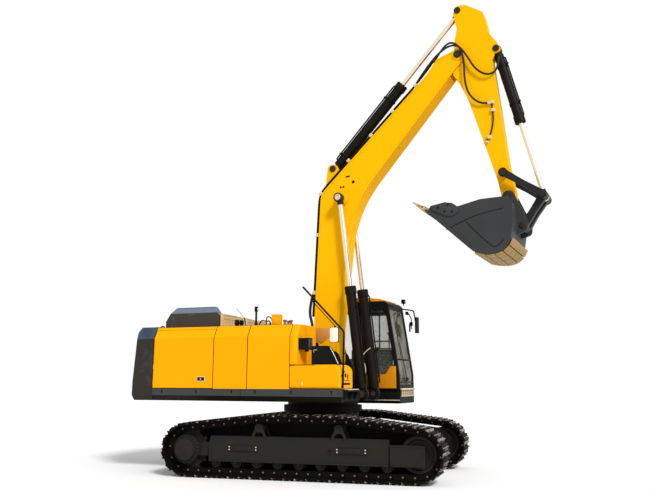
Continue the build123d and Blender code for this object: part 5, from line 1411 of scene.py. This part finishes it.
# cab
cabDetail = {
    "right": 0.5, "left": 1.48, "screenFoot": 1.45, "screenBend": 1.9, "lean": 0.1573,
    "bumpers": (
        (box, "footBumper", (1.448, 0.56, 1.586), (1.5, 1.43, 1.622), 0.01),
        (box, "footBumperLow", (1.45, 0.6, 1.455), (1.476, 1.4, 1.475), 0.006),
    ),
    "screenBars": (1.74, 2.2, 3.3), "wiper": ((0.76, 2.2), (0.7, 2.95)),
    "gauge": ((0, 0.026), (0.012, 0.026), (0.016, 0.018)), "gauges": (2.15, 2.212, 2.274, 2.336),
    "ribs": (0.62, 0.745, 0.87, 0.995, 1.12, 1.245, 1.37), "sillTreads": (0.36, 0.6, 0.84),
    # name: body, look and slot, then one row for each part
    "fixed": {
        # the cab's yellow side panel in a darker orange copy of the yellow paint: painted shade
        "cabSidePanel": (
            "upper", "cabOrange", "yellow_paint",
            (sideSlab, "panel", (
                (0.64, 1.9), (1.16, 1.9), (1.264, 2.061), (1.382, 2.061), (1.386, 1.622), (0.64, 1.622),
            ), 0.482, 0.504, 0.008),
        ),
        "panelMarks": (
            "upper", "bootTan", "black_paint",
            (box, "panelGroove", (0.78, 0.4808, 1.765), (1.33, 0.483, 1.771), 0),
            (box, "panelDot", (1.288, 0.48, 1.745), (1.302, 0.483, 1.775), 0.002),
        ),
        "cabFootStrip": (
            "upper", "clampCream", "tan_paint",
            (box, "strip", (0.64, 0.48, 1.38), (1.452, 0.51, 1.394), 0.003),
        ),
        "cabFrontCluster": (
            "upper", "blackPaint", "lamp_plastic",
            (box, "frontLampBody", (1.232, 1.37, 3.4), (1.318, 1.47, 3.49), 0.012),
            (bar, "frontLampStem", (1.27, 1.42, 3.36), (1.275, 1.42, 3.41), 0.012, 12),
            (box, "mirrorHinge", (1.29, 1.47, 3.165), (1.345, 1.54, 3.235), 0.008),
            (box, "frontCameraBody", (1.372, 1.48, 2.93), (1.44, 1.54, 3.01), 0.01),
            (box, "frontCameraFoot", (1.366, 1.48, 2.8), (1.392, 1.52, 2.96), 0.006),
            (tube, "frontLoom", (
                (1.33, 1.5, 3.23), (1.4, 1.51, 3.12), (1.42, 1.512, 3.04), (1.4, 1.505, 2.96),
                (1.42, 1.5, 2.86),
            ), 0.011),
        ),
        "cabLampLens": (
            "upper", "lampLens", "lamp_plastic",
            (box, "lens", (1.312, 1.378, 3.408), (1.324, 1.462, 3.482), 0.008),
        ),
        "cabDoorFittings": (
            "cab_door", "blackPaint", "black_paint",
            (box, "doorHandleCup", (1.0, 1.484, 2.01), (1.15, 1.498, 2.11), 0.01),
            (tube, "doorHandle", (
                (1.015, 1.492, 2.06), (1.017, 1.52, 2.06), (1.045, 1.526, 2.06), (1.11, 1.526, 2.06),
                (1.135, 1.52, 2.06), (1.137, 1.492, 2.06),
            ), 0.01),
            (box, "doorHingeLow", (0.316, 1.484, 1.83), (0.38, 1.502, 1.91), 0.008),
            (box, "doorHingeHigh", (0.316, 1.484, 2.85), (0.38, 1.502, 2.93), 0.008),
            (tube, "doorPullRail", (
                (0.9, 1.484, 1.95), (0.9, 1.525, 1.965), (0.9, 1.535, 2.02), (0.9, 1.535, 2.7),
                (0.9, 1.525, 2.76), (0.9, 1.484, 2.775),
            ), 0.015),
            (bar, "railFootLow", (0.9, 1.484, 1.952), (0.9, 1.494, 1.952), 0.028, 16, 0.003),
            (bar, "railFootHigh", (0.9, 1.484, 2.773), (0.9, 1.494, 2.773), 0.028, 16, 0.003),
        ),
        "cabRoofHatch": (
            "upper", "bodyYellow", "yellow_paint",
            (box, "hatch", (0.08, 0.64, 3.41), (0.86, 1.34, 3.428), 0.016, 3),
        ),
    },
}


def screenX(z):
    return cabDetail["screenFoot"] - max(z - cabDetail["screenBend"], 0) * cabDetail["lean"]


def buildCab():
    d = cabDetail
    fixedParts(d["fixed"])
    y, left = d["right"], d["left"]
    screenBars = []
    for z in d["screenBars"]:
        x = screenX(z)
        screenBars.append(
            (box, "screenBar", (x - 0.012, 0.54, z - 0.011), (x + 0.01, 1.44, z + 0.011), 0.004)
        )
    wiperX = screenX(1.8) + 0.016
    fitted(
        "cabWindowBars", "upper", "blackPaint", "black_paint",
        (box, "sideMullion", (1.028, y - 0.012, 2.42), (1.052, y + 0.012, 3.13), 0.004),
        (box, "sideRail", (0.45, y - 0.012, 2.553), (1.33, y + 0.012, 2.577), 0.004),
        (box, "sideSash", (0.4, y - 0.012, 3.128), (1.24, y + 0.012, 3.152), 0.004),
        (box, "sideRailLow", (0.45, y - 0.012, 2.405), (1.355, y + 0.012, 2.425), 0.004),
        *screenBars,
        # black sheets just inside the side window: painted shade of the dark cab interior below and above
        # the pane
        (box, "innerPanel", (0.4, y + 0.058, 1.64), (1.3, y + 0.074, 2.4), 0.01),
        (box, "innerHeader", (0.1, y + 0.056, 3.152), (1.215, y + 0.072, 3.31), 0.006),
        (bar, "wiperArm", (wiperX, 0.98, 1.8), (screenX(2.55) + 0.018, 0.8, 2.55), 0.008, 8),
        (bar, "wiperBlade", *((screenX(z) + 0.016, y, z) for y, z in d["wiper"]), 0.007, 8),
        (box, "wiperMotor", (wiperX - 0.014, 0.92, 1.765), (wiperX + 0.02, 1.04, 1.835), 0.01),
    )
    fitted("cabGauges", "upper", "mirrorWhite", "lamp_plastic", *[
        (turned, "gauge", (0.866, y + 0.052, z), (0, -1, 0), d["gauge"], 16) for z in d["gauges"]
    ])
    fitted(
        "cabFootGrille", "upper", "clampCream", "tan_paint",
        *d["bumpers"],
        *[(box, "bumperRib", (1.45, foot, 1.47), (1.484, foot + 0.018, 1.59), 0.004) for foot in d["ribs"]],
    )
    fitted("cabSillTreads", "upper", "blackPaint", "black_paint", *[
        (box, "sillTread", (x, left - 0.03, 1.598), (x + 0.18, left + 0.012, 1.612), 0.004)
        for x in d["sillTreads"]
    ])
    print("cab dressed")


# operator station
seatDetail = {
    "cushion": ((0.04, 0.76, 1.975), (0.64, 1.22, 2.095)),
    "back": ((-0.08, 0.76, 2.08), (0.06, 1.22, 2.8)), "backFoot": (0.01, 0, 2.08), "recline": -12,
    "backMove": (0.04, 0, 0), "rest": ((-0.115, 0.86, 2.845), (-0.02, 1.12, 3.0)),
    "voxel": 0.012, "steps": 20, "swell": 0.018,
    "cloth": {
        "use_pressure": True, "uniform_pressure_force": 4, "quality": 5, "tension_stiffness": 60,
        "compression_stiffness": 60, "bending_stiffness": 8,
    },
    "levers": (0.685, 1.295), "travelLevers": (0.935, 1.045),
    "leverBoot": ((0, 0.046), (0.02, 0.042), (0.045, 0.022), (0.052, 0.014)),
    "leverKnob": ((0, 0.014), (0.02, 0.027), (0.07, 0.03), (0.1, 0.026), (0.112, 0.012)),
    "travelKnob": ((0, 0.014), (0.015, 0.022), (0.07, 0.022), (0.082, 0.012)),
    # round the seat: its base, consoles, posts, shelf and dash
    "frame": (
        (box, "seatBase", (0.08, 0.79, 1.645), (0.6, 1.19, 1.8), 0.02),
        (box, "seatBellows", (0.12, 0.82, 1.79), (0.56, 1.16, 1.975), 0.04, 3),
        (box, "consoleRight", (0.12, 0.632, 1.645), (0.76, 0.738, 2.205), 0.025, 3),
        (box, "consoleLeft", (0.12, 1.242, 1.645), (0.76, 1.348, 2.205), 0.025, 3),
        (box, "armRestRight", (0.14, 0.636, 2.19), (0.46, 0.734, 2.219), 0.012, 3),
        (box, "armRestLeft", (0.14, 1.246, 2.19), (0.46, 1.344, 2.219), 0.012, 3),
        (box, "monitorBody", (1.18, 0.575, 2.17), (1.215, 0.735, 2.35), 0.01),
        (bar, "monitorStem", (1.19, 0.6, 1.7), (1.195, 0.62, 2.18), 0.018, 16),
        (box, "dashFoot", (0.96, 0.9, 1.64), (1.3, 1.08, 1.7), 0.012),
        (bar, "headRestPost", (-0.08, 0.94, 2.76), (-0.075, 0.94, 2.86), 0.008, 12),
        (bar, "headRestPostLeft", (-0.08, 1.04, 2.76), (-0.075, 1.04, 2.86), 0.008, 12),
        (box, "rearShelf", (-0.29, 0.56, 1.645), (-0.12, 1.42, 2.38), 0.012),
        (box, "sideDash", (0.85, 0.54, 1.64), (1.34, 0.578, 2.06), 0.012),
    ),
    # name: body, look and slot, then one row for each part
    "fixed": {
        "monitorScreen": (
            "upper", "lampLens", "lamp_plastic",
            (box, "screen", (1.176, 0.59, 2.19), (1.182, 0.72, 2.335), 0.004),
        ),
    },
}


def cushionBlock(name, low, high):
    # a rounded block, fine enough to be blown up a little as cloth
    piece = box(name, low, high, 0.035, 3)
    return modified(piece, "even", "REMESH", mode="VOXEL", voxel_size=seatDetail["voxel"])


def puffed(piece):
    # one short cloth run, in which the cover swells over its foam
    d = seatDetail
    still = [vertex.co.copy() for vertex in piece.data.vertices]
    cover = chosen(piece).modifiers.new("cover", "CLOTH")
    for key, value in d["cloth"].items():
        setattr(cover.settings, key, value)
    cover.settings.effector_weights.gravity = 0
    for step in range(1, d["steps"] + 1):
        bpy.context.scene.frame_set(step)
        bpy.context.view_layer.update()
    bpy.ops.object.modifier_apply(modifier="cover")
    bpy.context.scene.frame_set(1)
    for vertex, before in zip(piece.data.vertices, still):
        shift = vertex.co - before
        if shift.length > d["swell"]:
            vertex.co = before + shift.normalized() * d["swell"]
    return smooth(modified(piece, "soften", "SUBSURF", levels=1), 80)


def buildSeat():
    d = seatDetail
    fixedParts(d["fixed"])
    cushion = puffed(cushionBlock("seatCushion", *d["cushion"]))
    back = cushionBlock("seatBack", *d["back"])
    foot = Matrix.Translation(d["backFoot"])
    back.data.transform(foot @ Matrix.Rotation(math.radians(d["recline"]), 4, "Y") @ foot.inverted())
    back = puffed(back)
    back.data.transform(Matrix.Translation(d["backMove"]))
    rest = puffed(cushionBlock("headRest", *d["rest"]))
    for piece in (cushion, back, rest):
        finished(piece, "upper", looks["seatCloth"], ("operator_station",))
    levers = []
    for y in d["levers"]:
        levers += [
            (bar, "lever", (0.7, y, 2.195), (0.71, y, 2.38), 0.013, 14),
            (turned, "leverBoot", (0.7, y, 2.195), (0, 0, 1), d["leverBoot"], 20),
            (turned, "leverKnob", (0.71, y, 2.37), (0.05, 0, 1), d["leverKnob"], 20),
        ]
    for y in d["travelLevers"]:
        levers += [
            (bar, "travelLever", (1.04, y, 1.69), (0.98, y, 2.25), 0.011, 12),
            (turned, "travelKnob", (0.98, y, 2.24), (-0.1, 0, 1), d["travelKnob"], 16),
            (box, "travelPedal", (1.04, y - 0.045, 1.7), (1.24, y + 0.045, 1.722), 0.006),
        ]
    fitted(
        "operatorControls", "upper", "trimPlastic", "seat_plastic",
        *d["frame"], *levers, stands=("operator_station",),
    )
    print("operator station made")


# left side, and dark sheets inside the tracks that paint the shade there
leftDetail = {
    "treads": (-1.5, -1.05), "hinges": (("left_rear_door", -2.98), ("left_front_door", -1.6)),
    # outline of the near-black sheets inside each track loop: painted shade where the backdrop would show
    # through
    "guard": (
        (-2.46, 0.42), (-2.47, 0.66), (-2.33, 0.82), (-1.5, 0.935), (-0.78, 0.985), (0.78, 0.985),
        (2.2, 0.815), (2.39, 0.64), (2.38, 0.36), (2.15, 0.1), (-2.15, 0.1),
    ),
    "shadeSheetY": (1.12, 1.185),
}


def buildLeftSide():
    fitted("leftTreads", "upper", "stepWhite", "tan_paint", *[
        (box, "sideTread", (x, 1.47, 1.47), (x + 0.3, 1.492, 1.486), 0.004) for x in leftDetail["treads"]
    ])
    for body, x in leftDetail["hinges"]:
        fitted(
            body.replace("_", "") + "Hinges", body, "blackPaint", "black_paint",
            (bar, "hingeLow", (x, 1.492, 1.8), (x, 1.492, 1.88), 0.012, 12, 0.002),
            (bar, "hingeHigh", (x, 1.492, 2.35), (x, 1.492, 2.43), 0.012, 12, 0.002),
        )
    print("left side dressed")


def buildInnerShadeSheets():
    for side, sign in bothSides:
        low, high = sorted(sign * y for y in leftDetail["shadeSheetY"])
        fitted("innerShadeSheet" + side, "undercarriage", "shadeSheetDark", "wheel_steel", (
            sideSlab, "guard", leftDetail["guard"], low, high, 0.008,
        ))
    print("inner shade sheets made")


# counterweight
tailDetail = {
    "radius": 3.822, "lampY": 0.98, "eyes": (-0.7, 0.7),
    # two corners of each lamp part, as it would sit in the middle
    "lamps": (
        ("tailLampBodies", "blackPaint", (-3.85, -0.13, 1.96), (-3.8, 0.13, 2.07)),
        ("tailLampRed", "lampRed", (-3.856, -0.118, 1.972), (-3.84, 0.02, 2.058)),
        ("tailLampPale", "lampLens", (-3.856, 0.028, 1.972), (-3.84, 0.118, 2.058)),
    ),
    # the camera over the lamps, joined to their bodies
    "camera": {
        "tailLampBodies": (
            (box, "rearCamera", (-3.812, -0.055, 2.59), (-3.77, 0.055, 2.66), 0.012),
            (turned, "rearEye", (-3.81, 0, 2.622), (-1, 0, 0), (
                (0, 0.022), (0.01, 0.022), (0.014, 0.014),
            ), 20),
        ),
    },
    "eye": (
        (-3.445, 2.8), (-3.445, 2.86), (-3.43, 2.9), (-3.37, 2.9), (-3.355, 2.86), (-3.355, 2.8),
    ),
}


def tailLamp(sign, low, high):
    # a lamp part swung round to its place on the curved back
    piece = box("tailLamp", low, high)
    lean = math.asin(tailDetail["lampY"] / tailDetail["radius"])
    piece.data.transform(Matrix.Rotation(-sign * lean, 4, "Z"))
    return piece


def buildTail():
    d = tailDetail
    for name, look, low, high in d["lamps"]:
        rows = [(tailLamp, sign, low, high) for sign in (-1, 1)]
        fitted(name, "upper", look, "lamp_plastic", *rows, *d["camera"].get(name, ()))
    fitted("liftingEyes", "upper", "greyPaint", "grey_paint", *[
        (tube, "liftingEye", atY(y, d["eye"]), 0.016) for y in d["eyes"]
    ])
    print("counterweight dressed")


buildCab()
buildSeat()
buildLeftSide()
buildInnerShadeSheets()
buildTail()
